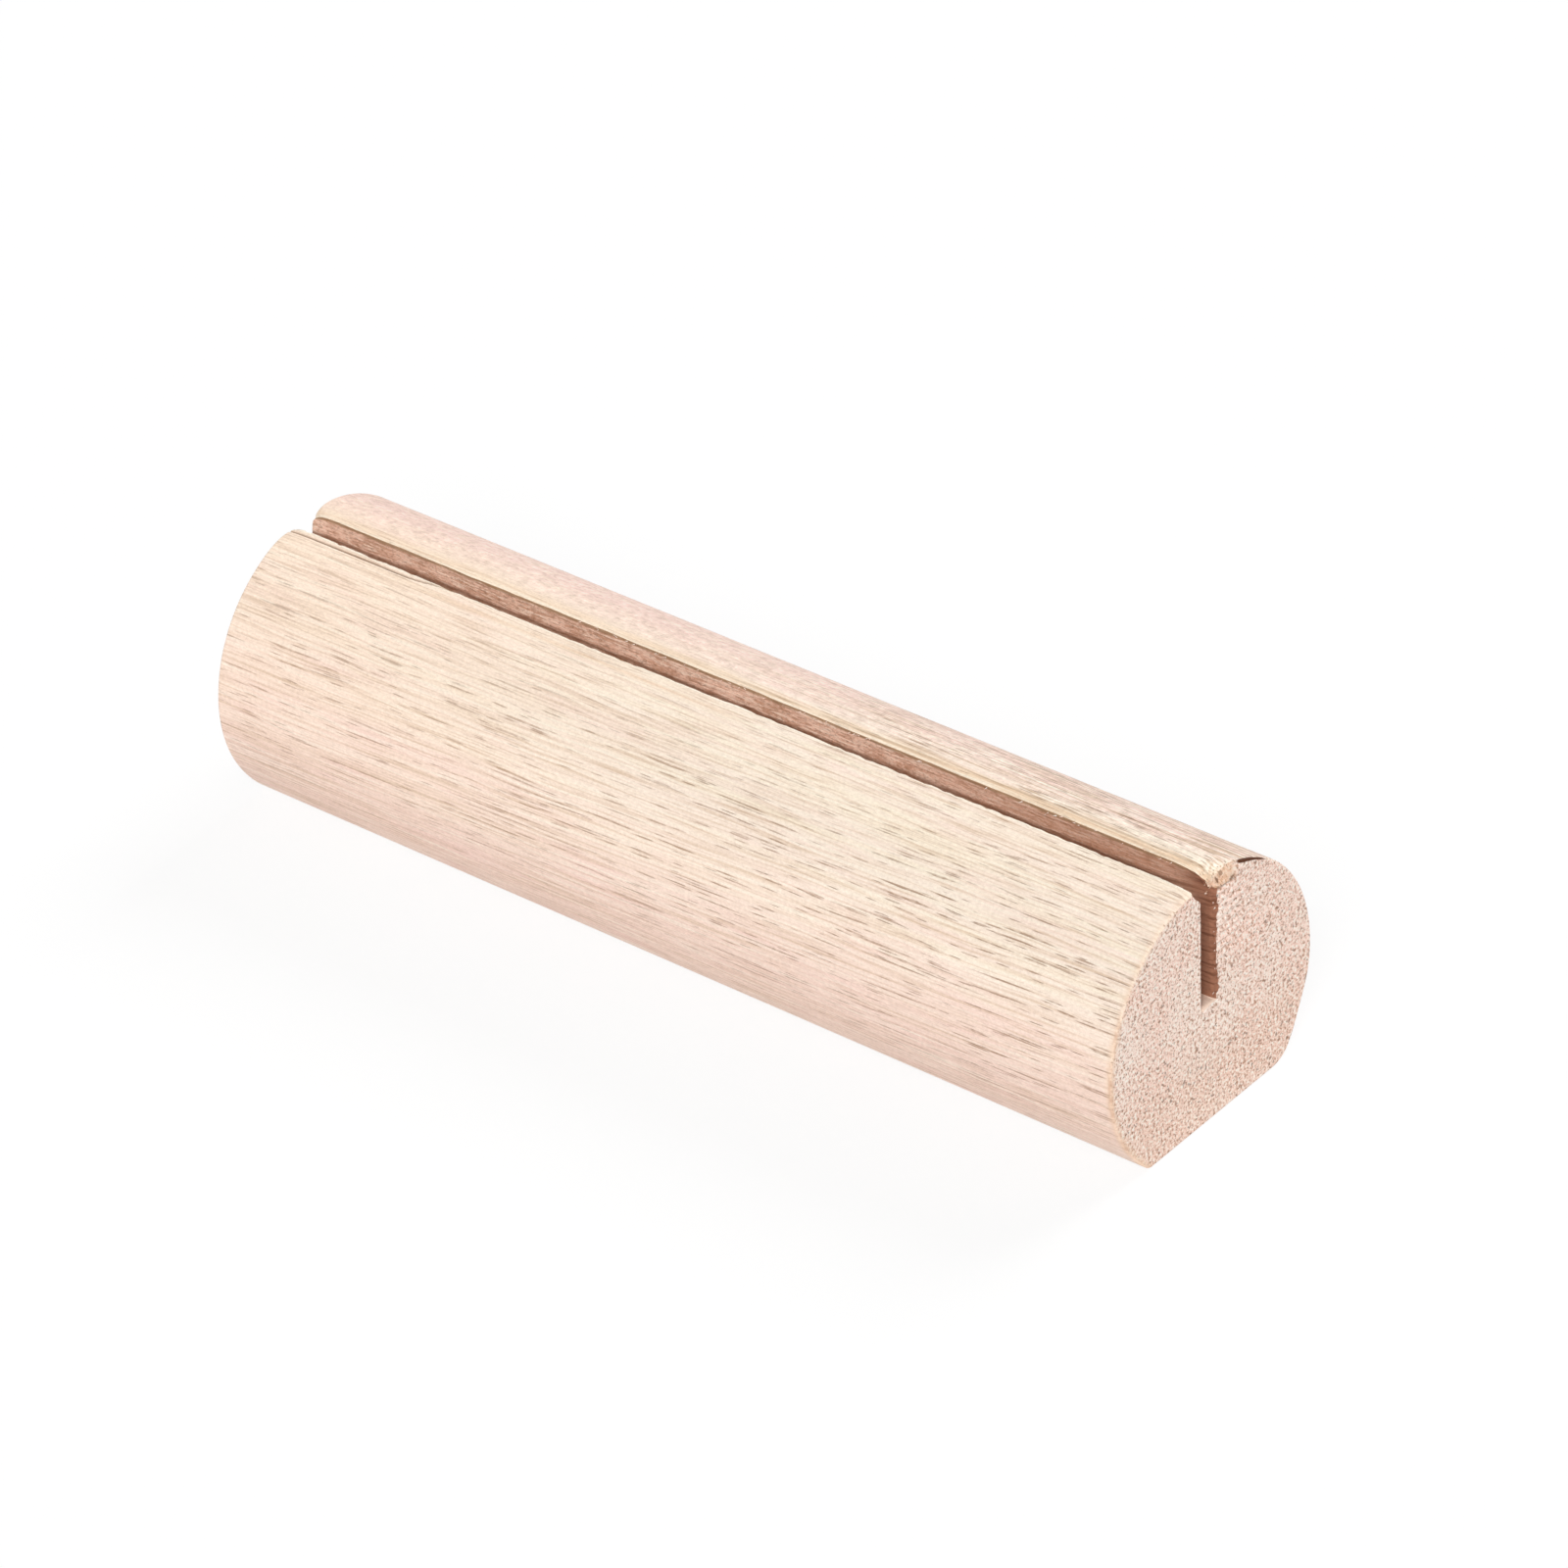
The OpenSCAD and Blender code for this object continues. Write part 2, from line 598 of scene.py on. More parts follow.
@dataclass(frozen=True)
class LipMarks:
    """The marks along the slot's lips: painted highlights on the arrises, a tan strip and a line behind, and
    a brow in front.
    """

    behind: Step = Step(-0.8, 0.0)
    ragged: Cloud = Cloud((2.2, 0.5, 0.5), seed=19.0)
    ragged_reach: float = 0.5
    strip: tuple = tone(251, 224, 196)
    strip_width: Step = Step(0.5, 1.5, falls=True)
    strip_share: float = 0.8
    tan: tuple = tone(236, 204, 170)
    tan_end: Step = Step(4.0, 34.0)
    tan_share: float = 0.75
    brow: Hump = Hump(1.25, 0.45)
    brow_wander: float = 0.4
    brow_start: Step = Step(-40.0, -30.0)
    brow_end: Step = Step(-4.0, 6.0, falls=True)
    brow_share: float = 0.42
    olive: tuple = tone(176, 142, 104)
    line_turn: Step = Step(12.0, 34.0)
    line_places: tuple = (0.55, 0.95)
    line_width: float = 0.26
    line_wander: float = 0.5
    line_start: Step = Step(-12.0, 4.0)
    line_breaks: Cloud = Cloud((6.0, 2.0, 2.0), 1.0, seed=21.0)
    line_break_step: Step = Step(0.30, 0.5)
    line_share: float = 0.5
    # Painted highlight along the lips' arrises.
    arris_highlight: tuple = tone(255, 246, 228)
    arris_width: Step = Step(0.1, 0.42, falls=True)
    arris_wander: float = 0.2
    arris_loss: float = 0.4
    arris_share: float = 0.7

    def read(self, spot: Spot) -> tuple[Signal, Signal, Signal]:
        """Return the distance from the lip, how ragged it is and whether the point lies behind the slot."""
        return (spot.shader_mark("lip_gap"), self.ragged.swing(spot.place) * self.ragged_reach,
                self.behind.at(spot.y))

    def stain(self, spot: Spot, colour: Signal) -> Signal:
        """Lay the strip on the colour, under the pores.

        Args:
            spot: The point of the bar.
            colour: The colour without it.

        Returns:
            The colour with it.
        """
        gap, ragged, behind = self.read(spot)
        strip = self.strip_width.at(gap + ragged) * behind
        colour = spot.graph.mix(strip * self.strip_share, colour, self.strip)
        return spot.graph.mix(strip * self.tan_end.at(spot.x) * self.tan_share, colour, self.tan)

    def draw(self, spot: Spot, colour: Signal) -> Signal:
        """Lay the brow, the line and the arrises' painted highlight on the colour, over the pores.

        Args:
            spot: The point of the bar.
            colour: The colour without them.

        Returns:
            The colour with them.
        """
        graph = spot.graph
        gap, ragged, behind = self.read(spot)
        brow = self.brow.at(gap + ragged * self.brow_wander) * (1.0 - behind)
        brow = brow * self.brow_start.at(spot.x) * self.brow_end.at(spot.x)
        colour = graph.mix(brow * self.brow_share, colour, self.tan)
        line_place = graph.blend(self.line_turn.at(spot.x), *self.line_places)
        line = graph.bell(gap + ragged * self.line_wander, line_place, self.line_width)
        line = line * behind * self.line_start.at(spot.x)
        line = line * self.line_break_step.at(self.line_breaks.at(spot.place))
        colour = graph.mix(line * self.line_share, colour, self.olive)
        # Painted highlight: a pale line along each lip, fainter behind the slot.
        edge = self.arris_width.at(gap + ragged * self.arris_wander) * (1.0 - behind * self.arris_loss)
        return graph.mix(edge * self.arris_share, colour, self.arris_highlight)


@dataclass(frozen=True, kw_only=True)
class SideGrain(WoodFinish):
    """Sanded wood along the grain, with short fine pores and the marks of its lips and its near rim."""

    kind: Finish = Finish.SIDE
    roughness: float = 0.62
    gloss: float = 0.25
    rim: NearRim
    ground: GroundColour = GroundColour()
    pores: Pores = Pores()
    lips: LipMarks = LipMarks()
    rise: float = 0.026
    wander: Cloud = Cloud((50.0, 12.0, 12.0), 1.0, seed=3.1)
    wander_reach: float = 0.8
    pore: tuple = tone(160, 118, 86)
    pore_share: float = 0.76
    streak: tuple = tone(216, 188, 160)
    streak_gain: float = 2.8
    pale: tuple = tone(255, 246, 228)
    pale_gain: float = -2.0
    speckle: Cloud = Cloud((0.34, 0.19, 0.19), 2.0, 0.7, 23.0)
    speckle_share: float = 0.50
    mottle: Cloud = Cloud((0.8, 0.6, 0.6), 2.0, 0.6, 27.0)
    mottle_share: float = 0.22
    rough_back: Step = Step(0.5, 3.0, 3.6)
    smooth_front: Step = Step(6.0, 14.0)
    roughest: float = 3.6
    channel_shares: tuple = (0.86, 1.0, 1.12)
    # Painted shade: the crack's groove is coloured dark.
    crack: tuple = tone(120, 84, 58)
    fibre_height: float = -0.03
    pore_depth: float = 0.05
    speckle_height: float = 0.02
    off_base: Step = Step(0.0, 0.5)

    def along_grain(self, spot: Spot) -> Signal:
        """Return a point's coordinates with the grain's slight rise and wander taken out."""
        wander = self.wander.swing(spot.place) * self.wander_reach
        return spot.graph.vector(spot.x, spot.y + wander, spot.z - spot.x * self.rise + wander)

    def sanding(self, spot: Spot, speckle: Signal) -> Signal:
        """Work out how sanding left the wood lighter and darker, as a colour to multiply by.

        Args:
            spot: The point of the bar.
            speckle: The fine speckle there, as a value about 0.

        Returns:
            The colour.
        """
        graph = spot.graph
        rough = self.rough_back.at(spot.y) + 1.0 - self.smooth_front.at(spot.z)
        mottle = self.mottle.swing(spot.place) * graph.clamp(rough, 0.0, self.roughest) * self.mottle_share
        uneven = speckle * self.speckle_share + mottle
        return graph.vector(*(1.0 + uneven * share for share in self.channel_shares))

    def rule(self, spot: Spot) -> tuple[Signal, Signal]:
        """Work out the colour and the relief of the side.

        Args:
            spot: The point of the bar.

        Returns:
            The colour, and the height in millimetres.
        """
        graph = spot.graph
        grain = self.along_grain(spot)
        pores, fibres = self.pores.at(spot, grain)
        speckle = self.speckle.swing(spot.place)
        colour = self.lips.stain(spot, self.ground.paint(spot, grain))
        colour = graph.mix(graph.clamp(fibres * self.streak_gain), colour, self.streak)
        colour = graph.mix(graph.clamp(fibres * self.pale_gain), colour, self.pale)
        colour = graph.mix(pores * self.pore_share, colour, self.pore)
        colour = self.lips.draw(spot, colour)
        colour = graph.mix(1.0, colour, self.sanding(spot, speckle), "MULTIPLY")
        colour = self.rim.paint(spot, colour)
        # Painted shade in the crack's groove, which the wear also cuts.
        colour = graph.mix(spot.shader_mark("crack"), colour, self.crack)
        height = fibres * self.fibre_height - pores * self.pore_depth + speckle * self.speckle_height
        return colour, height * self.off_base.at(spot.z)


@dataclass(frozen=True, kw_only=True)
class EndGrain(WoodFinish):
    """Wood sawn square across the grain: open pores seen end on, as fine specks."""

    kind: Finish = Finish.END
    roughness: float = 0.8
    gloss: float = 0.15
    rim: NearRim
    facet_floor: float
    body: tuple = tone(254, 218, 203)
    pale: tuple = tone(255, 247, 236)
    dark: tuple = tone(124, 88, 66)
    broad: Cloud = Cloud((9.0, 6.0, 6.0), seed=2.0)
    broad_pale: Step = Step(0.35, 0.7, 0.4)
    # Painted shade: the end face darker towards the bottom.
    low: Coat = Coat(tone(236, 202, 182), Step(4.0, 12.0, 0.45, falls=True))
    grit: Cloud = Cloud((0.5, 0.30, 0.30), 2.0, 0.75, 8.0)
    specks: Coat = Coat(tone(178, 138, 112), Step(0.49, 0.68))
    pale_specks: Step = Step(0.36, 0.51, falls=True)
    pits: Cloud = Cloud((0.8, 0.34, 0.34), 1.0, 0.5, 14.0)
    pit_step: Step = Step(0.61, 0.73, 0.70)
    near_end: Step = Step(45.0, 47.0)
    facet_rise: float = 0.1
    facet_start: Step = Step(0.0, 1.0)
    facet_end: Step = Step(3.6, 4.6, falls=True)
    torn: tuple = tone(226, 184, 146)
    torn_share: float = 0.55
    splinters: Cloud = Cloud((0.8, 0.35, 0.7), 2.0, 0.6, 18.0)
    splinter_step: Step = Step(0.56, 0.66)
    splinter_share: float = 0.85
    ragged: Cloud = Cloud((0.5, 0.5, 0.5), seed=21.0)
    # Painted shade: a dark line along the crease where the facet meets the end face.
    crease: tuple = tone(128, 92, 66)
    crease_wander: float = 0.14
    crease_width: float = 0.16
    crease_start: Step = Step(1.0, 1.3)
    crease_fade: Step = Step(3.6, 6.2, 0.9)
    crease_end: Step = Step(6.0, 6.4, falls=True)
    crease_share: float = 0.55
    grit_height: float = -0.16
    splinter_depth: float = 0.25
    crease_depth: float = 0.06

    def rule(self, spot: Spot) -> tuple[Signal, Signal]:
        """Work out the colour and the relief of an end face.

        Args:
            spot: The point of the bar.

        Returns:
            The colour, and the height in millimetres.
        """
        graph = spot.graph
        colour = graph.mix(self.broad_pale.at(self.broad.at(spot.place)), self.body, self.pale)
        # Painted shade: the end face darker towards the bottom.
        colour = self.low.over(colour, spot.z)
        grit = self.grit.at(spot.place)
        colour = self.specks.over(colour, grit)
        colour = graph.mix(self.pale_specks.at(grit), colour, self.pale)
        colour = graph.mix(self.pit_step.at(self.pits.at(spot.place)), colour, self.dark)
        near_end = self.near_end.at(spot.x)
        facet = graph.smooth(spot.z, self.facet_floor, self.facet_floor + self.facet_rise) * near_end
        facet = facet * self.facet_start.at(spot.y) * self.facet_end.at(spot.y)
        splinters = self.splinters.at(spot.place)
        colour = graph.mix(facet * self.torn_share, colour, self.torn)
        colour = graph.mix(facet * self.splinter_step.at(splinters) * self.splinter_share, colour, self.dark)
        ragged = self.ragged.swing(spot.place) * self.crease_wander
        crease = graph.bell(spot.z + ragged, self.facet_floor, self.crease_width)
        crease = crease * self.crease_start.at(spot.y) * (1.0 - self.crease_fade.at(spot.y))
        crease = crease * self.crease_end.at(spot.y) * near_end
        # Painted shade along the crease, over a shallow dip in the relief.
        colour = graph.mix(crease * self.crease_share, colour, self.crease)
        colour = self.rim.paint(spot, colour)
        height = (grit - 0.5) * self.grit_height - facet * (splinters - 0.5) * self.splinter_depth
        return colour, height - crease * self.crease_depth


@dataclass(frozen=True, kw_only=True)
class SlotWall(WoodFinish):
    """Wood in the saw cut: pinkish brown and mottled, with painted shade lower down and the long marks of the
    saw.
    """

    kind: Finish = Finish.SLOT
    roughness: float = 0.85
    gloss: float = 0.1
    floor_z: float
    dark: tuple = tone(210, 166, 140)
    pale: tuple = tone(255, 230, 210)
    patches: Cloud = Cloud((3.0, 1.6, 1.0), 3.0, 0.6, 9.0)
    body: Coat = Coat(tone(250, 212, 190), Step(0.36, 0.62))
    streaks: Cloud = Cloud((2.2, 0.5, 0.18), 3.0, 0.65, 4.0)
    pale_streaks: Step = Step(0.50, 0.64)
    dark_streaks: Step = Step(0.36, 0.48, 0.9, falls=True)
    grit: Cloud = Cloud((0.4, 0.24, 0.24), 2.0, 0.7, 12.0)
    dark_grit: Step = Step(0.48, 0.68, 0.42)
    pale_grit: Step = Step(0.32, 0.44, 0.5, falls=True)
    shaded: Coat = Coat(tone(194, 144, 116), Step(8.0, 46.0, 0.6))
    # Painted shade: the wall is darker deeper down the cut.
    deep: Coat = Coat(tone(226, 174, 148), Step(2.4, 4.0, 0.8))
    ragged: Cloud = Cloud((1.6, 0.8, 0.8), seed=15.0)
    ragged_reach: float = 0.4
    # This brown darkens the grit, and also paints a shadow: a dark band across the back wall about 2 mm down
    # the cut.
    brown_tone: tuple = tone(142, 102, 78)
    dark_band: Hump = Hump(2.1, 0.42)
    dark_share: float = 0.75
    # Painted shade: a dark line down the wall just under each lip.
    lip: Coat = Coat(tone(166, 132, 100), Step(0.16, 0.40, 0.9, falls=True))
    lip_wander: float = 0.5
    near_end: Step = Step(46.0, 49.5)
    # Painted shade: the wall darker where the cut reaches the near end.
    near_end_shade: tuple = tone(164, 114, 90)
    saw: tuple = tone(112, 70, 50)
    saw_marks: Cloud = Cloud((6.0, 2.0, 0.32), 2.0, 0.6, 25.0)
    saw_step: Step = Step(0.50, 0.62)
    saw_share: float = 0.7
    # Painted light: the slot's floor paler at the near end.
    lit_floor: tuple = tone(252, 226, 206)
    lit_floor_heights: tuple = (0.01, 0.06)
    lit_floor_share: float = 0.9
    streak_height: float = 0.10
    grit_height: float = 0.07
    saw_depth: float = 0.10

    def rule(self, spot: Spot) -> tuple[Signal, Signal]:
        """Work out the colour and the relief of the slot's walls and floor.

        Args:
            spot: The point of the bar.

        Returns:
            The colour, and the height in millimetres.
        """
        graph = spot.graph
        depth = -spot.shader_mark("lip_gap")
        streaks = self.streaks.at(spot.place)
        grit = self.grit.at(spot.place)
        colour = self.body.over(self.dark, self.patches.at(spot.place))
        colour = graph.mix(self.pale_streaks.at(streaks), colour, self.pale)
        colour = graph.mix(self.dark_streaks.at(streaks), colour, self.dark)
        colour = graph.mix(self.dark_grit.at(grit), colour, self.brown_tone)
        colour = graph.mix(self.pale_grit.at(grit), colour, self.pale)
        # Painted shade: darker towards the near end, and deeper down the cut.
        colour = self.deep.over(self.shaded.over(colour, spot.x), depth)
        ragged = self.ragged.swing(spot.place) * self.ragged_reach
        # Painted shadow: a dark band across the back wall, about 2 mm below the lips.
        colour = graph.mix(self.dark_band.at(depth + ragged) * self.dark_share, colour, self.brown_tone)
        # Painted shade: a dark line just under the lips.
        colour = self.lip.over(colour, depth + ragged * self.lip_wander)
        near_end = self.near_end.at(spot.x)
        marks = self.saw_marks.at(spot.place)
        # Painted shade: the wall darker at the near end.
        colour = graph.mix(near_end, colour, self.near_end_shade)
        colour = graph.mix(self.saw_step.at(marks) * near_end * self.saw_share, colour, self.saw)
        # Painted light: the slot's floor paler at the near end.
        low, high = (self.floor_z + height for height in self.lit_floor_heights)
        lit_floor = (1.0 - graph.smooth(spot.z, low, high)) * near_end
        colour = graph.mix(lit_floor * self.lit_floor_share, colour, self.lit_floor)
        height = (streaks - 0.5) * self.streak_height + (grit - 0.5) * self.grit_height
        return colour, height - marks * near_end * self.saw_depth


Point = tuple[float, float]


class ShapeTree:
    """A Geometry Nodes tree with named inputs, run on a host object that its result takes the place of."""

    KINDS = {float: "NodeSocketFloat", int: "NodeSocketInt", bpy.types.Material: "NodeSocketMaterial"}

    def __init__(self, name: str, mesh: bpy.types.Mesh, values: dict) -> None:
        """Set up the host, the tree and its inputs.

        Args:
            name: Name of the tree.
            mesh: What the tree starts from.
            values: Each input's value by name: a number, a whole number or a material.
        """
        self.host = bpy.data.objects.new(name, mesh)
        bpy.context.scene.collection.objects.link(self.host)
        self.tree = bpy.data.node_groups.new(name, "GeometryNodeTree")
        self.values = values
        self.names = {}
        for way in ("OUTPUT", "INPUT"):
            self.tree.interface.new_socket("Geometry", in_out=way, socket_type="NodeSocketGeometry")
        for title, value in values.items():
            kind = self.KINDS[type(value)]
            socket = self.tree.interface.new_socket(title, in_out="INPUT", socket_type=kind)
            self.names[title] = socket.identifier
        self.graph = Graph(self.tree)
        entry = self.graph.node("NodeGroupInput", {})
        self.inputs = {title: Signal(self.graph, entry.outputs[title]) for title in ("Geometry", *values)}

    def bake(self, geometry: Signal, name: str) -> bpy.types.Object:
        """Run the tree and keep its result as a plain mesh.

        Args:
            geometry: What the tree ends in.
            name: Name of the result.

        Returns:
            The object that holds the result.
        """
        self.graph.node("NodeGroupOutput", {"Geometry": geometry})
        modifier = self.host.modifiers.new(self.tree.name, "NODES")
        modifier.node_group = self.tree
        for title, value in self.values.items():
            modifier[self.names[title]] = value
        shaped = self.host.evaluated_get(bpy.context.evaluated_depsgraph_get())
        mesh = bpy.data.meshes.new_from_object(shaped)
        mesh.name = name
        self.host.modifiers.remove(modifier)
        bpy.data.objects.remove(self.host)
        result = bpy.data.objects.new(name, mesh)
        bpy.context.scene.collection.objects.link(result)
        return result


@dataclass
class BarOutline:
    """The bar's outline across its length, as one closed chain of points that starts on the front lip.

    The chain runs over the front, the base and the back to the back lip, then down the back wall of the slot
    and up the front wall. Both halves have the same number of points.
    """

    radius: float
    centre_z: float
    slot_y: float
    slot_width: float
    floor_z: float
    front_flare: float = 0.03
    back_flare: float = 0.15
    flare_depth: float = 3.2
    front_lip_ease: float = 0.30
    back_lip_ease: float = 0.22
    front_lip_dip: float = 0.04
    back_lip_dip: float = 0.10
    dip_reach: float = 2.4
    base_front_ease: float = 0.3
    base_back_ease: float = 1.3
    floor_ease: float = 0.06
    lip_steps: int = 3
    arc_steps: int = 95
    base_steps: int = 20
    base_front_steps: int = 3
    base_back_steps: int = 6
    floor_steps: int = 10
    flare_step_divisor: int = 3
    first_step_share: float = 0.12
    points: list = field(default_factory=list)

    def round_point(self, angle: float) -> Point:
        """Work out a point of the round, with the worn dips beside both lips.

        Args:
            angle: Angle from the round's top, which grows towards the back.

        Returns:
            The point.
        """
        y = self.radius * math.sin(angle)
        z = self.centre_z + self.radius * math.cos(angle)
        for side, dip in ((-1, self.front_lip_dip), (1, self.back_lip_dip)):
            lip_y = self.slot_y + side * self.slot_width / 2
            if z > self.centre_z and (y - lip_y) * side >= -self.slot_width / 2:
                z -= dip * math.exp(-((y - lip_y) / self.dip_reach) ** 2)
        return y, z

    def add_ease(self, start: Point, corner: Point, end: Point, steps: int, first: float,
                 last: float) -> None:
        """Add part of a softened corner, without its first point.

        Args:
            start: Where the softening starts.
            corner: The corner before it was softened.
            end: Where the softening ends.
            steps: How many points are added.
            first: Share of the corner at which this part starts.
            last: Share at which it ends.
        """
        for step in range(1, steps + 1):
            share = first + (last - first) * step / steps
            rest = 1 - share
            self.points.append(tuple(
                rest * rest * a + 2 * rest * share * b + share * share * c
                for a, b, c in zip(start, corner, end)))

    def add_line(self, end: Point, steps: int) -> None:
        """Add a straight stretch from the last point.

        Args:
            end: Where it ends.
            steps: How many points are added.
        """
        start = self.points[-1]
        for step in range(1, steps + 1):
            share = step / steps
            self.points.append(tuple(a + (b - a) * share for a, b in zip(start, end)))

    def add_arc(self, start: float, end: float, steps: int, fine_start: bool) -> None:
        """Add a stretch of the round whose points lie close together near the lip.

        Args:
            start: Angle of the point before it.
            end: Angle of its last point.
            steps: How many points are added.
            fine_start: True if the lip is at its start.
        """
        for step in range(1, steps + 1):
            share = step / steps
            if fine_start:
                share = share * (self.first_step_share + (1 - self.first_step_share) * share)
            else:
                rest = 1 - share
                share = 1 - rest * (self.first_step_share + (1 - self.first_step_share) * rest)
            self.points.append(self.round_point(start + (end - start) * share))

    def lip(self, side: int, ease: float) -> tuple[Point, Point, Point, float]:
        """Work out a lip of the slot.

        Args:
            side: -1 for the front lip and 1 for the back one.
            ease: How far the softening reaches from the corner.

        Returns:
            The softening's start on the round, the corner, its end on the wall, and the start's angle.
        """
        flare = self.back_flare if side > 0 else self.front_flare
        lip_y = self.slot_y + side * (self.slot_width / 2 + flare)
        corner = self.round_point(math.asin(lip_y / self.radius))
        angle = math.asin((lip_y + side * ease) / self.radius)
        return self.round_point(angle), corner, (lip_y, corner[1] - ease), angle

    def draw(self) -> None:
        """Fill the chain of points."""
        front_out, front_corner, front_in, front_angle = self.lip(-1, self.front_lip_ease)
        back_out, back_corner, back_in, back_angle = self.lip(1, self.back_lip_ease)
        base_angle = math.acos(-self.centre_z / self.radius)
        base_y = self.radius * math.sin(base_angle)
        front_base = -(base_angle - self.base_front_ease / self.radius)
        back_base = base_angle - self.base_back_ease / self.radius
        self.points = []
        self.add_ease(front_in, front_corner, front_out, self.lip_steps, 0.5, 1.0)
        self.add_arc(front_angle, front_base, self.arc_steps, True)
        self.add_ease(self.points[-1], (-base_y, 0.0), (-base_y + self.base_front_ease, 0.0),
                      self.base_front_steps, 0.0, 1.0)
        self.add_line((base_y - self.base_back_ease, 0.0), self.base_steps)
        self.add_ease(self.points[-1], (base_y, 0.0), self.round_point(back_base),
                      self.base_back_steps, 0.0, 1.0)
        self.add_arc(back_base, back_angle, self.arc_steps, False)
        self.add_ease(back_out, back_corner, back_in, self.lip_steps, 0.0, 0.5)
        half = len(self.points)
        front_y = front_in[0] + self.front_flare
        back_y = back_in[0] - self.back_flare
        ease = self.floor_ease
        wall_steps = (half - self.floor_steps - 4 * self.lip_steps) // 2
        floor_steps = half - 2 * wall_steps - 4 * self.lip_steps
        flare_steps = wall_steps // self.flare_step_divisor
        self.add_ease(back_out, back_corner, back_in, self.lip_steps, 0.5, 1.0)
        self.add_line((back_y, back_in[1] - self.flare_depth), flare_steps)
        self.add_line((back_y, self.floor_z + ease), wall_steps - flare_steps)
        self.add_ease(self.points[-1], (back_y, self.floor_z), (back_y - ease, self.floor_z),
                      self.lip_steps, 0.0, 1.0)
        self.add_line((front_y + ease, self.floor_z), floor_steps)
        self.add_ease(self.points[-1], (front_y, self.floor_z), (front_y, self.floor_z + ease),
                      self.lip_steps, 0.0, 1.0)
        self.add_line((front_y, front_in[1] - self.flare_depth), wall_steps - flare_steps)
        self.add_line(front_in, flare_steps)
        self.add_ease(front_in, front_corner, front_out, self.lip_steps, 0.0, 0.5)
        self.points = self.points[-1:] + self.points[:-1]

    def outward(self) -> list[Point]:
        """Work out which way points out of the wood.

        Returns:
            The direction at each point.
        """
        directions = []
        count = len(self.points)
        for number in range(count):
            before = self.points[number - 1]
            after = self.points[(number + 1) % count]
            along = Vector((after[0] - before[0], after[1] - before[1])).normalized()
            directions.append((along.y, -along.x))
        return directions

    def lip_gaps(self) -> list[float]:
        """Measure how far each point lies from the nearest lip, along the chain.

        Returns:
            The distance of each point, below zero inside the slot.
        """
        count = len(self.points)
        half = count // 2
        travelled = [0.0]
        for number in range(1, count + 1):
            before = Vector(self.points[number - 1])
            travelled.append(travelled[-1] + (Vector(self.points[number % count]) - before).length)
        gaps = []
        for number in range(count):
            if number <= half:
                gaps.append(min(travelled[number], travelled[half] - travelled[number]))
            else:
                gaps.append(-min(travelled[number] - travelled[half], travelled[count] - travelled[number]))
        return gaps

    def mesh(self, name: str) -> bpy.types.Mesh:
        """Make a mesh of edges that carries each point's direction and distance from the lip.

        Args:
            name: Name of the mesh.

        Returns:
            The mesh.
        """
        mesh = bpy.data.meshes.new(name)
        count = len(self.points)
        corners = [(0.0, y * MM, z * MM) for y, z in self.points]
        mesh.from_pydata(corners, [(number, (number + 1) % count) for number in range(count)], [])
        mesh.attributes.new("out", "FLOAT_VECTOR", "POINT")
        mesh.attributes.new("lip_gap", "FLOAT", "POINT")
        out = mesh.attributes["out"].data
        gap = mesh.attributes["lip_gap"].data
        for number, (direction, distance) in enumerate(zip(self.outward(), self.lip_gaps())):
            out[number].vector = (0.0, direction[0], direction[1])
            gap[number].value = distance
        return mesh


class SkinSpot(Spot):
    """A point of the bar's skin, with what the marks of wear on it depend on."""

    def __init__(self, graph: Graph, bar: "WoodenBar", wear: "Wear") -> None:
        """Read the point's place and the values that it carries.

        Args:
            graph: The tree's graph.
            bar: The bar that it lies on.
            wear: How the bar has worn.
        """
        super().__init__(graph, graph.signal("GeometryNodeInputPosition", {}))
        self.gap = self.mesh_mark("lip_gap")
        self.from_lip = graph.math("ABSOLUTE", self.gap)
        self.inside = self.mesh_mark("inside")
        self.is_high = wear.high.at(self.z)
        self.near_lip = wear.lip_band.at(self.from_lip) * self.is_high
        self.rough = wear.rough.at(self.place)
        self.is_front = 1.0 - graph.smooth(self.y, *(bar.middle_y() + y for y in wear.front_bounds))
        self.far_corner = graph.fade(bar.length / 2 + self.x, wear.far_reach)


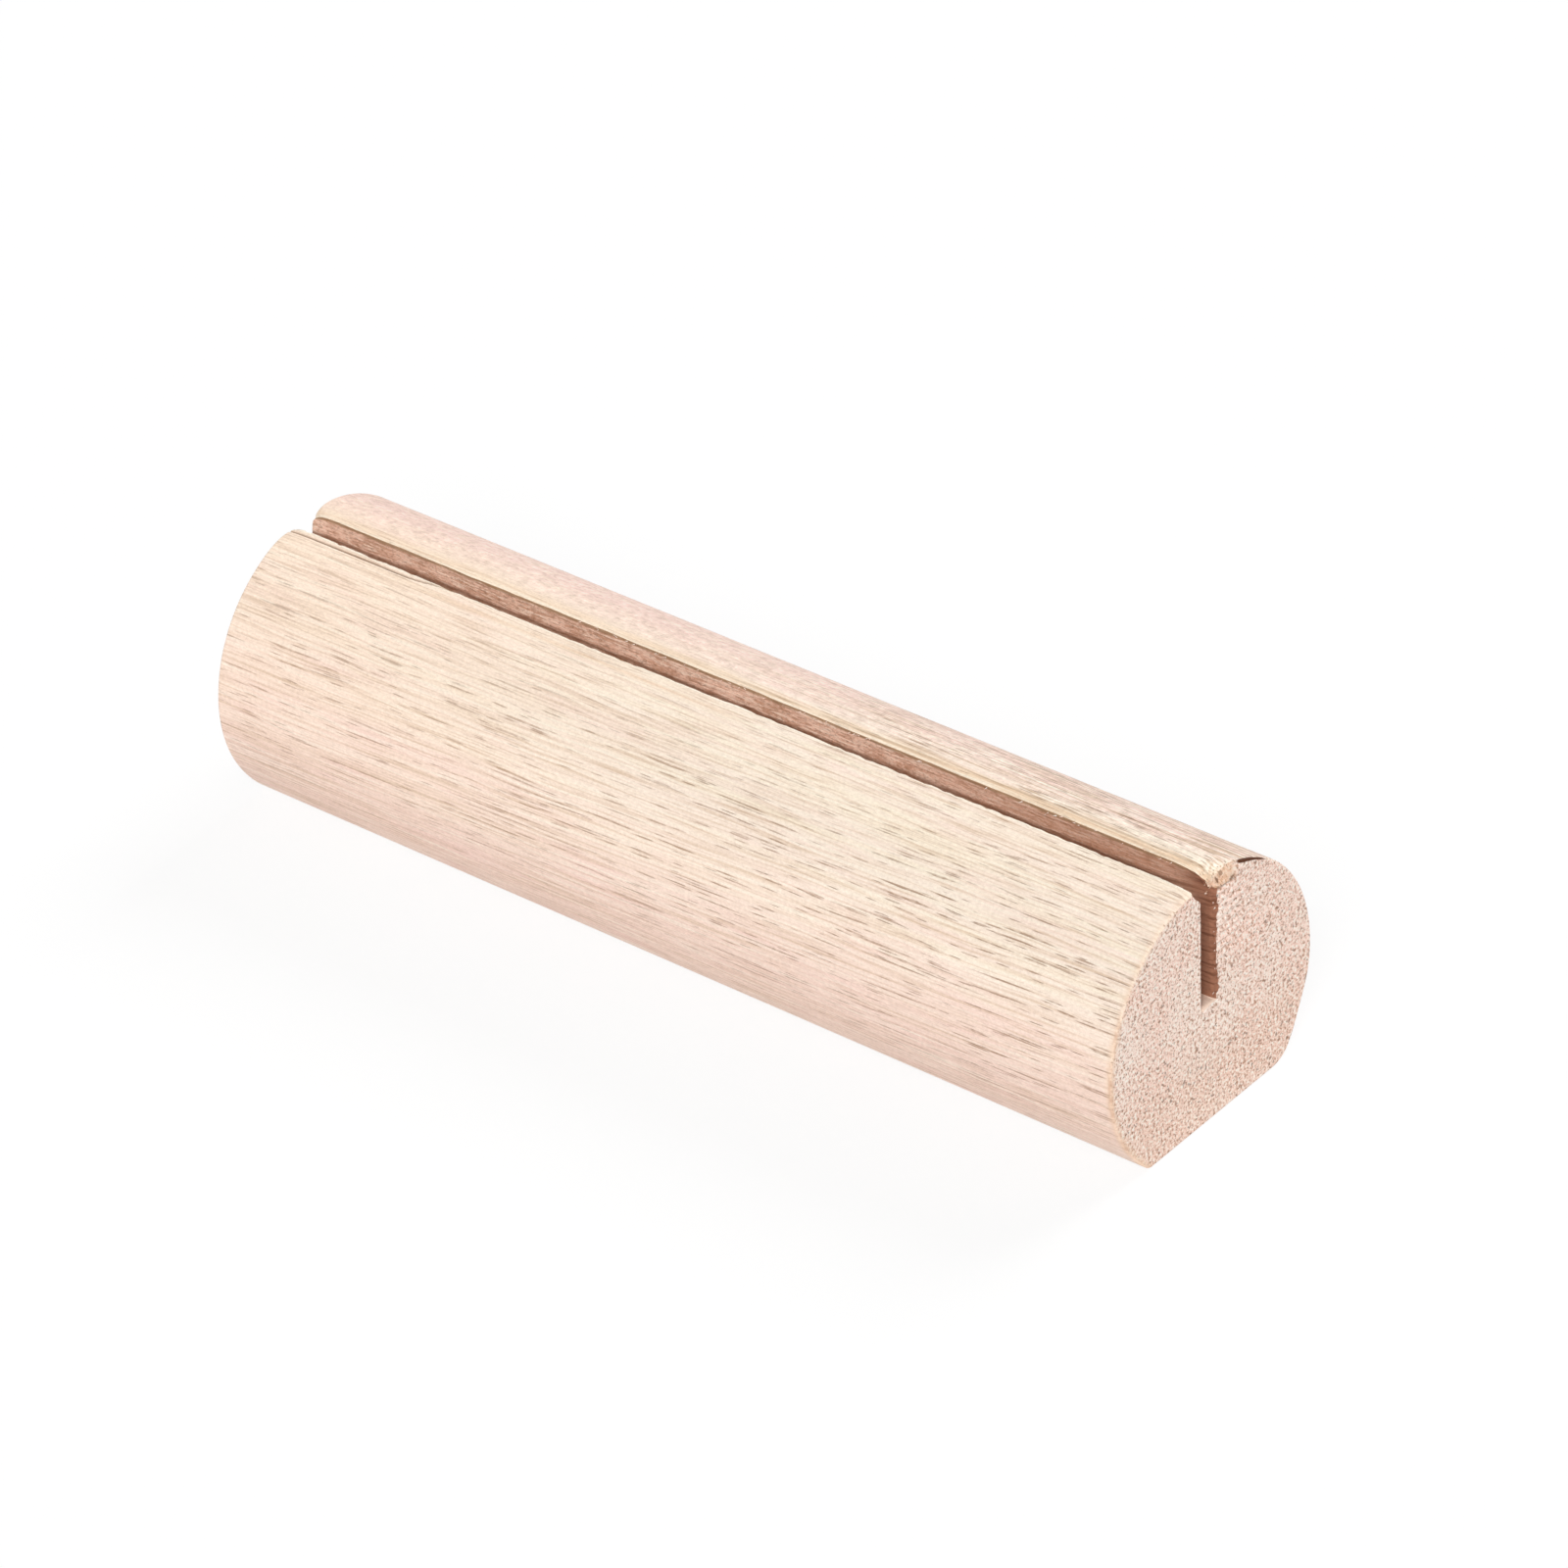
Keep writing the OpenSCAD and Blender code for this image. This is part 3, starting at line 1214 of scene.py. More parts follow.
@dataclass(frozen=True)
class Wear:
    """How sawing, sanding and use have worn the bar, always into the wood. Lengths are millimetres."""

    high: Step = Step(17.0, 21.0)
    lip_band: Step = Step(0.0, 0.55, falls=True)
    front_bounds: tuple = (-0.7, 0.5)
    rough: Cloud = Cloud((0.7, 0.7, 0.7), seed=43.0)
    waves: Cloud = Cloud((26.0, 7.0, 7.0), seed=31.0)
    wave_depth: float = 0.07
    off_base: Step = Step(0.2, 3.0)
    nicks: Cloud = Cloud((1.0, 0.7, 0.7), 2.0, 0.6, 37.0)
    nick_step: Step = Step(0.45, 0.75)
    nick_depth: float = 0.16
    saw: Cloud = Cloud((16.0, 3.0, 0.34), seed=41.0)
    saw_depth: float = 0.09
    saw_start: Step = Step(0.0, 0.8)
    wobble: Cloud = Cloud((5.0, 40.0, 40.0), 2.0, 0.6, 53.0)
    wobble_reach: float = 0.30
    bow: Hump = Hump(-20.0, 24.0)
    bow_depth: float = 0.15
    facet_lean: float = 0.42
    facet_start: tuple = (-0.9, -0.2)
    facet_end: Step = Step(3.6, 4.8, falls=True)
    facet_level: Level = Level(0.75, 0.5)
    facet_length: float = 2.0
    tooth_size: float = 0.4
    tooth_wander: float = 0.7
    tear_bounds: tuple = (0.2, 0.6)
    tear_length: float = 0.7
    tear_tooth: float = 0.5
    tear_patches: Step = Step(0.45, 0.60, 0.25)
    tear_pull: float = 0.2
    far_reach: float = 0.9
    far_lip_reach: float = 0.9
    far_drop: float = 0.95
    far_front_loss: float = 0.40
    far_slant: float = 0.5
    near_reach: float = 0.8
    near_lip_reach: float = 1.6
    near_drop: float = 0.34
    rim_reach: float = 1.2
    rim_drop: float = 0.85
    rim_back: Step = Step(1.6, 4.3, falls=True)
    rim_front: Step = Step(-0.6, 0.6)
    rim_below_top: float = 0.6
    crack_drift: Step = Step(30.5, 36.0, 0.58)
    crack_width: float = 0.13
    crack_start: Step = Step(30.0, 33.0)
    crack_patches: Cloud = Cloud((3.0, 9.0, 9.0), 1.0, seed=47.0)
    crack_level: Level = Level(0.55, 0.8)
    crack_depth: float = 0.26
    heel: Hump = Hump(4.2, 4.0)
    heel_back: Step = Step(7.0, 12.0)
    heel_along: Step = Step(10.0, 46.0)
    heel_depth: float = 0.24
    heel_forward: float = 0.9
    heel_up: float = 0.4

    def surface(self, spot: SkinSpot) -> Signal:
        """Return how deep the sanded waves, the nicks in the lips and the saw marks go.

        Args:
            spot: The point of the skin.

        Returns:
            The depth.
        """
        waves = self.waves.at(spot.place) * self.off_base.at(spot.z) * (1.0 - spot.inside) * self.wave_depth
        nicks = self.nick_step.at(self.nicks.at(spot.place)) * spot.near_lip * self.nick_depth
        saw = self.saw.at(spot.place) * spot.inside * self.saw_depth * self.saw_start.at(-spot.gap)
        return waves + nicks + saw

    def sway(self, spot: SkinSpot) -> Signal:
        """Return how far the lips lie back from a straight line."""
        bow = self.bow.at(spot.x) * spot.is_front * self.bow_depth
        return (self.wobble.swing(spot.place) * self.wobble_reach - bow) * spot.near_lip

    def facet(self, spot: SkinSpot, bar: "WoodenBar") -> Signal:
        """Return how far the facet over the near end leans into the wood.

        Args:
            spot: The point of the skin.
            bar: The bar.

        Returns:
            The distance along the bar.
        """
        graph = spot.graph
        half = bar.length / 2
        lean = graph.math("MAXIMUM", spot.z - bar.facet_floor, 0.0) * self.facet_lean
        start = graph.smooth(spot.y, *(bar.near_wall_y() + y for y in self.facet_start))
        length = graph.smooth(spot.x, half - self.facet_length, half)
        return start * self.facet_end.at(spot.y) * lean * self.facet_level.at(spot.rough) * length

    def tear(self, spot: SkinSpot, bar: "WoodenBar") -> tuple[Signal, Signal]:
        """Return how the slot's back wall is torn at the near end.

        Args:
            spot: The point of the skin.
            bar: The bar.

        Returns:
            The tear's depth into the wall, and how far it pulls the wood along the bar.
        """
        graph = spot.graph
        half = bar.length / 2
        tooth = graph.math("PINGPONG", spot.z + spot.rough * self.tooth_wander, self.tooth_size)
        tooth = tooth / self.tooth_size
        torn = graph.smooth(spot.y, *(bar.middle_y() + y for y in self.tear_bounds)) * spot.inside
        torn = torn * graph.smooth(spot.x, half - self.tear_length, half)
        depth = torn * (tooth * spot.rough * self.tear_tooth + self.tear_patches.at(spot.rough))
        return depth, torn * tooth * self.tear_pull

    def drop(self, spot: SkinSpot, bar: "WoodenBar") -> Signal:
        """Return how far the corners at both ends of the slot have worn down.

        Args:
            spot: The point of the skin.
            bar: The bar.

        Returns:
            The drop.
        """
        graph = spot.graph
        from_end = bar.length / 2 - spot.x
        far = graph.fade(spot.from_lip, self.far_lip_reach) * spot.is_high * spot.far_corner
        far = far * (self.far_drop - spot.is_front * self.far_front_loss)
        near = graph.fade(spot.from_lip, self.near_lip_reach) * spot.is_high
        near = near * graph.fade(from_end, self.near_reach) * spot.is_front * self.near_drop
        rim = graph.fade(from_end, self.rim_reach) * self.rim_drop * self.rim_back.at(spot.y)
        rim = rim * self.rim_front.at(spot.y)
        rim = rim * graph.smooth(spot.z, bar.facet_floor, bar.height - self.rim_below_top)
        return far + near + rim

    def crack(self, spot: SkinSpot) -> Signal:
        """Return the strength of the crack that leaves the front lip towards the far end.

        Args:
            spot: The point of the skin.

        Returns:
            The strength.
        """
        farness = -spot.x
        groove = spot.graph.bell(spot.gap, self.crack_drift.at(farness), self.crack_width)
        groove = groove * self.crack_start.at(farness) * spot.is_front
        return groove * self.crack_level.at(self.crack_patches.at(spot.place))

    def apply(self, graph: Graph, skin: Signal, bar: "WoodenBar") -> Signal:
        """Wear the skin down, and keep it inside the bar's own box.

        Args:
            graph: The tree's graph.
            skin: The closed skin.
            bar: The bar.

        Returns:
            The worn skin, with a crack attribute for the finish.
        """
        half = bar.length / 2
        spot = SkinSpot(graph, bar, self)
        crack = self.crack(spot)
        drop = self.drop(spot, bar)
        tear_depth, tear_pull = self.tear(spot, bar)
        heel = self.heel.at(spot.z) * self.heel_back.at(spot.y) * self.heel_along.at(spot.x) * self.heel_depth
        along = spot.far_corner * drop * self.far_slant - self.facet(spot, bar) - tear_pull
        back = tear_depth + self.sway(spot) - heel * self.heel_forward
        up = heel * self.heel_up - drop - crack * self.crack_depth
        worn = graph.scaled(graph.signal("GeometryNodeInputNormal", {}), -self.surface(spot))
        worn = graph.vector_math("ADD", worn, graph.vector(along, back, up))
        worn = graph.vector_math("ADD", spot.place, worn)
        worn = graph.vector_math("MAXIMUM", worn, (-half, -bar.radius, 0.0))
        worn = graph.vector_math("MINIMUM", worn, (half, bar.radius, bar.height))
        skin = graph.store(skin, "crack", graph.clamp(crack))
        return graph.signal("GeometryNodeSetPosition", {"Geometry": skin, "Position": graph.scaled(worn, MM)})


@dataclass
class WoodenBar:
    """The bar itself: one piece of wood, swept from its outline and then worn."""

    length: float
    height: float
    radius: float
    slot_y: float
    slot_floor_z: float
    slot_width: float = 2.1
    slot_set_back: float = 0.19
    slot_drift: float = 0.2
    drift_reach: float = 9.0
    stray_top: float = 0.85
    stray_floor: float = 0.32
    stray_pinch: float = 0.14
    stray_length: float = 6.5
    stray_start: float = 0.05
    mouth_depth: float = 1.9
    facet_floor: float = 22.35
    lip_drop: float = 1.0
    rim_ease: float = 0.28
    stations: int = 190
    rim_steps: int = 4
    cap_steps: int = 12
    end_crowding: float = 0.78
    sharp_angle: float = 38.0
    end_turn: float = 0.72
    slot_share: float = 0.3
    wear: Wear = Wear()

    def middle_y(self) -> float:
        """Return where the middle of the worn slot lies, a little behind the saw's own line."""
        return self.slot_y + self.slot_set_back

    def near_wall_y(self, deep: float = 0.0) -> float:
        """Return where the slot's back wall meets the near end, from 0 at its mouth to 1 at its floor."""
        stray = self.stray_top + (self.stray_floor - self.stray_top) * deep
        return self.middle_y() + self.slot_drift + self.slot_width / 2 + stray - self.stray_pinch

    def back_lip_y(self, x: float) -> float:
        """Return where the slot's back lip lies at a place along the bar."""
        drift = self.slot_drift * 2 * x / self.length
        return self.middle_y() + drift + self.slot_width / 2 + self.outline().back_flare

    def outline(self) -> BarOutline:
        """Draw the bar's outline at the middle of its length.

        Returns:
            The outline.
        """
        outline = BarOutline(self.radius, self.height - self.radius, self.middle_y(), self.slot_width,
                             self.slot_floor_z)
        outline.draw()
        return outline

    def slide(self, sample: Signal, weight: Operand, rise: Operand, shift: Signal) -> Signal:
        """Move a point of the outline sideways with the slot's drift, so that it stays on the round.

        Args:
            sample: The point.
            weight: Share of the drift that it takes.
            rise: Share of the round's fall that it takes.
            shift: The slot's drift at this station.

        Returns:
            The moved point.
        """
        graph = sample.graph
        x, y, z = graph.split(sample)
        square = (self.radius * MM) ** 2
        moved = y + shift * weight
        before = graph.math("SQRT", graph.math("MAXIMUM", square - y * y, 0.0))
        after = graph.math("SQRT", graph.math("MAXIMUM", square - moved * moved, 0.0))
        return graph.vector(x, moved, z + (after - before) * rise)

    def stray(self, sample: Signal, x: Signal, depth: Signal) -> Signal:
        """Move a point of the slot back near the near end, where the saw wandered below the mouth.

        Args:
            sample: The point.
            x: Its place along the bar, in metres.
            depth: Its distance down the wall from the lip, in millimetres.

        Returns:
            The moved point.
        """
        graph = sample.graph
        _, y, z = graph.split(sample)
        along = graph.smooth(x / MM, self.length / 2 - self.stray_length, self.length / 2)
        below = graph.smooth(depth, self.stray_start, self.mouth_depth)
        mouth = self.height - self.mouth_depth
        deep = graph.clamp((mouth - z / MM) / (mouth - self.slot_floor_z))
        side = graph.clamp((y / MM - self.middle_y()) / (self.slot_width / 2), -1.0, 1.0)
        move = graph.blend(deep, self.stray_top, self.stray_floor) - side * self.stray_pinch
        return graph.vector_math("ADD", sample, graph.vector(0.0, move * along * below * MM, 0.0))

    def sweep(self, graph: Graph, inputs: dict, columns: int) -> Signal:
        """Sweep the outline into a closed skin: the outside, both ends and the slot.

        Args:
            graph: The tree's graph.
            inputs: The outline's geometry and the tree's named inputs, as signals.
            columns: How many steps each half of the outline has.

        Returns:
            The skin, as geometry.
        """
        last = self.stations - 1
        turn_rows = 2 * self.rim_steps + self.cap_steps
        rows = 2 * last + 2 * turn_rows + 1
        grid = graph.signal("GeometryNodeMeshGrid",
                            {"Size X": 1.0, "Size Y": 1.0, "Vertices X": rows, "Vertices Y": columns + 1})
        across, down, _ = graph.split(graph.signal("GeometryNodeInputPosition", {}))
        row = graph.math("ROUND", (across + 0.5) * float(rows - 1))
        column = graph.math("ROUND", (down + 0.5) * float(columns))
        near = graph.clamp(row - float(last), 0.0, float(turn_rows))
        far = graph.clamp(row - float(2 * last + turn_rows), 0.0, float(turn_rows))
        near_turn = graph.math("MINIMUM", near, turn_rows - near)
        far_turn = graph.math("MINIMUM", far, turn_rows - far)
        turn = graph.clamp(graph.math("MAXIMUM", near_turn, far_turn) / float(self.rim_steps))
        inside = (graph.clamp((near - float(self.rim_steps)) / float(self.cap_steps))
                  - graph.clamp((far - float(self.rim_steps)) / float(self.cap_steps)))
        along = (graph.clamp(row, 0.0, float(last))
                 - graph.clamp(row - float(last + turn_rows), 0.0, float(last))) / float(last)
        station = along * 2.0 - 1.0
        crowded = graph.math("SINE", station * (math.pi / 2))
        station = graph.blend(self.end_crowding, station, crowded)

        position = graph.signal("GeometryNodeInputPosition", {})
        out = graph.signal("GeometryNodeInputNamedAttribute", {"Name": "out"}, data_type="FLOAT_VECTOR")
        gap = graph.signal("GeometryNodeInputNamedAttribute", {"Name": "lip_gap"}, data_type="FLOAT")
        inner_index = graph.math("MODULO", 2.0 * columns - column, 2.0 * columns)

        def read(value: Signal, index: Signal, kind: str = "FLOAT") -> Signal:
            """Return the outline's value at a point of its chain."""
            sampled = {"Geometry": inputs["Geometry"], "Value": value, "Index": index}
            return graph.signal("GeometryNodeSampleIndex", sampled, data_type=kind, domain="POINT")

        ease = inputs["Rim ease"]
        angle = turn * (math.pi / 2)
        inset = ease * (1.0 - graph.math("COSINE", angle))
        reach = inputs["Half length"] - ease * (1.0 - graph.math("SINE", angle))
        x = station * reach
        shift = inputs["Slot drift"] * station
        points = []
        for index, is_inner in ((column, False), (inner_index, True)):
            sample = read(position, index, "FLOAT_VECTOR")
            direction = read(out, index, "FLOAT_VECTOR")
            sample = graph.vector_math("SUBTRACT", sample, graph.scaled(direction, inset))
            _, y, z = graph.split(sample)
            if is_inner:
                floor = self.slot_floor_z * MM
                weight = 1.0
                rise = graph.clamp((z - floor) / ((self.height - self.lip_drop - self.slot_floor_z) * MM))
                sample = self.stray(sample, x, -read(gap, index))
            else:
                distance = graph.math("ABSOLUTE", y - self.middle_y() * MM)
                top = graph.math("GREATER_THAN", z, (self.height - self.radius) * MM)
                weight = (1.0 - graph.smooth(distance, self.slot_width * MM, self.drift_reach * MM)) * top
                rise = 1.0
            points.append(self.slide(sample, weight, rise, shift))
        place = graph.signal("ShaderNodeMix", {0: inside, 4: points[0], 5: points[1]}, 1, data_type="VECTOR")
        _, y, z = graph.split(place)
        lip_gap = graph.blend(inside, read(gap, column), read(gap, inner_index))
        skin = grid
        for name, value in (("lip_gap", lip_gap), ("inside", inside), ("turn", turn)):
            skin = graph.store(skin, name, value)
        skin = graph.signal("GeometryNodeSetPosition", {"Geometry": skin, "Position": graph.vector(x, y, z)})
        skin = graph.signal("GeometryNodeFlipFaces", {"Mesh": skin})
        return graph.signal("GeometryNodeMergeByDistance", {"Geometry": skin, "Distance": JOIN_DISTANCE})

    def dress(self, graph: Graph, skin: Signal, inputs: dict) -> Signal:
        """Shade the skin smooth except at sharp edges, and give each region its finish.

        Args:
            graph: The tree's graph.
            skin: The worn skin.
            inputs: The tree's named inputs as signals.

        Returns:
            The finished geometry.
        """
        def face_value(name: str) -> Signal:
            """Return an attribute averaged over each face."""
            value = graph.signal("GeometryNodeInputNamedAttribute", {"Name": name}, data_type="FLOAT")
            return graph.signal("GeometryNodeFieldOnDomain", {0: value}, data_type="FLOAT", domain="FACE")

        edge_angle = graph.signal("GeometryNodeInputMeshEdgeAngle", {}, "Unsigned Angle")
        sharp = graph.math("GREATER_THAN", edge_angle, math.radians(self.sharp_angle))
        skin = graph.signal("GeometryNodeSetShadeSmooth",
                            {"Geometry": skin, "Selection": sharp, "Shade Smooth": False}, domain="EDGE")
        skin = graph.signal("GeometryNodeRealizeInstances", {"Geometry": skin})
        is_end = graph.math("GREATER_THAN", face_value("turn"), self.end_turn)
        is_slot = graph.math("GREATER_THAN", face_value("inside") - face_value("turn"), self.slot_share)
        skin = graph.signal("GeometryNodeSetMaterial", {"Geometry": skin, "Material": inputs["Side finish"]})
        skin = graph.signal("GeometryNodeSetMaterial",
                            {"Geometry": skin, "Selection": is_slot, "Material": inputs["Slot finish"]})
        return graph.signal("GeometryNodeSetMaterial",
                            {"Geometry": skin, "Selection": is_end, "Material": inputs["End finish"]})

    @staticmethod
    def drop_empty_slot(mesh: bpy.types.Mesh) -> None:
        """Take out the empty first material slot that the tree's grid leaves.

        Args:
            mesh: The bar's mesh.
        """
        finishes = [material for material in mesh.materials if material]
        offset = len(mesh.materials) - len(finishes)
        indices = [face.material_index - offset for face in mesh.polygons]
        mesh.materials.clear()
        for material in finishes:
            mesh.materials.append(material)
        mesh.polygons.foreach_set("material_index", indices)

    def build(self, finishes: dict[Finish, bpy.types.Material]) -> bpy.types.Object:
        """Build the bar as a plain mesh.

        Args:
            finishes: The material for each kind of cut.

        Returns:
            The bar's object.
        """
        outline = self.outline()
        shape = ShapeTree("bar_from_outline", outline.mesh("bar_outline"), {
            "Half length": self.length / 2 * MM,
            "Slot drift": self.slot_drift * MM,
            "Rim ease": self.rim_ease * MM,
            "Side finish": finishes[Finish.SIDE],
            "End finish": finishes[Finish.END],
            "Slot finish": finishes[Finish.SLOT],
        })
        skin = self.sweep(shape.graph, shape.inputs, len(outline.points) // 2)
        skin = self.wear.apply(shape.graph, skin, self)
        bar = shape.bake(self.dress(shape.graph, skin, shape.inputs), "solid_wood_bar")
        for name in ("out", "turn", "inside"):
            if name in bar.data.attributes:
                bar.data.attributes.remove(bar.data.attributes[name])
        self.drop_empty_slot(bar.data)
        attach(bar, BODY)
        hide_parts(BAR_NODE)
        return bar


@dataclass
class TornFibres:
    """Fine slivers that the saw left standing along an edge of the slot, in a row between two points."""

    name: str
    start: tuple
    end: tuple
    lean: tuple
    count: int = 26
    length: float = 0.45
    thickness: float = 0.06
    scatter: float = 0.08
    spread: float = 0.5
    seed: int = 4
    sides: int = 4
    least_size: tuple = (0.5, 0.7, 0.4)
    greatest_size: tuple = (1.2, 1.3, 1.0)

    def row(self, graph: Graph, inputs: dict) -> Signal:
        """Stand slivers at random places along the row.

        Args:
            graph: The tree's graph.
            inputs: The tree's named inputs as signals.

        Returns:
            The slivers, as geometry.
        """
        def chance(low: Operand, high: Operand, turn: int) -> Signal:
            """Return a random vector between two others for each sliver."""
            seed = inputs["Seed"] + float(turn)
            return graph.signal("FunctionNodeRandomValue", {0: low, 1: high, "Seed": seed},
                                data_type="FLOAT_VECTOR")

        none, full, back = (0.0, 0.0, 0.0), (1.0, 1.0, 1.0), (-1.0, -1.0, -1.0)
        share, _, _ = graph.split(chance(none, full, 1))
        start = Vector(self.start) * MM
        along = Vector(self.end) * MM - start
        jitter = graph.scaled(chance(back, full, 2), inputs["Scatter"])
        place = graph.vector_math("ADD", graph.scaled(tuple(along), share), tuple(start))
        place = graph.vector_math("ADD", place, jitter)
        points = graph.signal("GeometryNodePoints", {"Count": inputs["Count"], "Position": place})
        direction = graph.scaled(chance(back, full, 3), self.spread)
        direction = graph.vector_math("ADD", direction, self.lean)
        turned = graph.signal("FunctionNodeAlignRotationToVector", {"Vector": direction}, axis="Z")
        size = chance(self.least_size, self.greatest_size, 4)
        cone = {"Vertices": self.sides, "Radius Top": 0.0, "Radius Bottom": inputs["Thickness"],
                "Depth": inputs["Length"]}
        sliver = graph.signal("GeometryNodeMeshCone", cone)
        row = {"Points": points, "Instance": sliver, "Rotation": turned, "Scale": size}
        return graph.signal("GeometryNodeInstanceOnPoints", row)

    def build(self, finish: bpy.types.Material) -> bpy.types.Object:
        """Build the row as a plain mesh.

        Args:
            finish: Its material.

        Returns:
            The row's object.
        """
        shape = ShapeTree(self.name, bpy.data.meshes.new(self.name), {
            "Count": self.count,
            "Length": self.length * MM,
            "Thickness": self.thickness * MM,
            "Scatter": self.scatter * MM,
            "Seed": self.seed,
            "Finish": finish,
        })
        graph = shape.graph
        slivers = graph.signal("GeometryNodeRealizeInstances", {"Geometry": self.row(graph, shape.inputs)})
        dressed = {"Geometry": slivers, "Material": shape.inputs["Finish"]}
        fibres = shape.bake(graph.signal("GeometryNodeSetMaterial", dressed), self.name)
        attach(fibres, BODY)
        return fibres


@dataclass
class Studio:
    """A white floor under soft even light, seen from the photograph's viewpoint.

    The camera looks along a line given by its azimuth and elevation, rolled a little, and its aim lies a
    little beside the middle of the bar's round. Distances are millimetres and angles degrees, but the
    clip distances are metres.
    """

    aim_height: float
    azimuth: float = 41.4764
    elevation: float = 34.6502
    roll: float = -4.1001
    distance: float = 774.96
    aim_right: float = 2.818
    aim_up: float = 3.216
    lens: float = 204.98
    sensor: float = 36.0
    clip: tuple = (0.01, 20.0)
    white: tuple = (1.0, 1.0, 1.0, 1.0)
    floor_size: float = 6000.0
    floor_colour: tuple = (0.86, 0.86, 0.86, 1.0)
    floor_share: float = 0.18
    sky_light: float = 0.36
    lamp_angle: float = 24.0
    key_light: float = 1.95
    key_from: tuple = (0.42, -0.66, 0.62)
    fill_light: float = 1.32
    fill_from: tuple = (0.1, 0.75, 0.65)

    def build_camera(self) -> None:
        """Place the camera and make it the scene's own."""
        turn = math.radians(self.azimuth)
        lift = math.radians(self.elevation)
        roll = math.radians(self.roll)
        back = Vector((math.sin(turn) * math.cos(lift), -math.cos(turn) * math.cos(lift), math.sin(lift)))
        level = Vector((math.cos(turn), math.sin(turn), 0.0))
        upright = back.cross(level)
        right = level * math.cos(roll) + upright * math.sin(roll)
        up = upright * math.cos(roll) - level * math.sin(roll)
        aim = Vector((0.0, 0.0, self.aim_height))
        place = aim + back * self.distance + right * self.aim_right + up * self.aim_up
        data = bpy.data.cameras.new("camera")
        data.lens = self.lens
        data.sensor_width = self.sensor
        data.clip_start, data.clip_end = self.clip
        camera = bpy.data.objects.new("camera", data)
        bpy.context.scene.collection.objects.link(camera)
        turned = Matrix((right, up, back)).transposed().to_4x4()
        camera.matrix_world = Matrix.Translation(place * MM) @ turned
        bpy.context.scene.camera = camera

    def build_floor(self) -> None:
        """Lay the floor: white where the camera sees it unshaded, and keeping the bar's soft shadow."""
        half = self.floor_size / 2 * MM
        mesh = bpy.data.meshes.new("floor")
        mesh.from_pydata([(-half, -half, 0), (half, -half, 0), (half, half, 0), (-half, half, 0)], [],
                         [(0, 1, 2, 3)])
        floor = bpy.data.objects.new("floor", mesh)
        bpy.context.scene.collection.objects.link(floor)
        material = bpy.data.materials.new("white_floor")
        material.use_nodes = True
        tree = material.node_tree
        tree.nodes.clear()
        graph = Graph(tree)
        seen = graph.signal("ShaderNodeLightPath", {}, "Is Camera Ray")
        share = graph.blend(seen, self.floor_colour[0], self.floor_share)
        diffuse = graph.signal("ShaderNodeBsdfDiffuse", {"Color": graph.vector(share, share, share)})
        lift = seen * (1.0 - self.floor_share)
        glow = graph.signal("ShaderNodeEmission", {"Color": self.white, "Strength": lift})
        both = graph.signal("ShaderNodeAddShader", {0: diffuse, 1: glow})
        graph.node("ShaderNodeOutputMaterial", {"Surface": both})
        mesh.materials.append(material)
        floor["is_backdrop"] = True

    def build_light(self) -> None:
        """Light the scene with an even white sky and two broad soft lamps, above the front and the back."""
        world = bpy.data.worlds.new("white_sky")
        world.use_nodes = True
        tree = world.node_tree
        tree.nodes.clear()
        graph = Graph(tree)
        seen = graph.signal("ShaderNodeLightPath", {}, "Is Camera Ray")
        strength = graph.blend(seen, self.sky_light, 1.0)
        sky = graph.signal("ShaderNodeBackground", {"Color": self.white, "Strength": strength})
        graph.node("ShaderNodeOutputWorld", {"Surface": sky})
        bpy.context.scene.world = world
        self.add_lamp("soft_key", self.key_light, self.key_from)
        self.add_lamp("soft_fill", self.fill_light, self.fill_from)

    def add_lamp(self, name: str, strength: float, source: tuple) -> None:
        """Add a broad soft lamp.

        Args:
            name: Name of the lamp.
            strength: How strong its light is.
            source: Direction that its light comes from.
        """
        data = bpy.data.lights.new(name, "SUN")
        data.energy = strength
        data.angle = math.radians(self.lamp_angle)
        lamp = bpy.data.objects.new(name, data)
        lamp.rotation_euler = Vector(source).to_track_quat("Z", "Y").to_euler()
        bpy.context.scene.collection.objects.link(lamp)

    def build(self) -> None:
        """Build the whole studio."""
        self.build_camera()
        self.build_floor()
        self.build_light()
        bpy.context.scene.view_settings.view_transform = "Standard"


def report(piece: bpy.types.Object) -> None:
    """Log a finished piece's name, size and number of triangles.

    Args:
        piece: The piece.
    """
    piece.data.calc_loop_triangles()
    corners = [Vector(corner) for corner in piece.bound_box]
    size = [(max(c[axis] for c in corners) - min(c[axis] for c in corners)) / MM for axis in range(3)]
    log.info("%s: %.2f x %.2f x %.2f mm, %d triangles", piece.name, *size, len(piece.data.loop_triangles))


def slot_mount() -> Vector:
    """Return the place of the slot's floor at mid-length, in millimetres."""
    mounts = {mount["name"]: mount for mount in frame["record"]["mounts"]}
    return Vector(mounts[SLOT_MOUNT]["pos_m"]) / MM


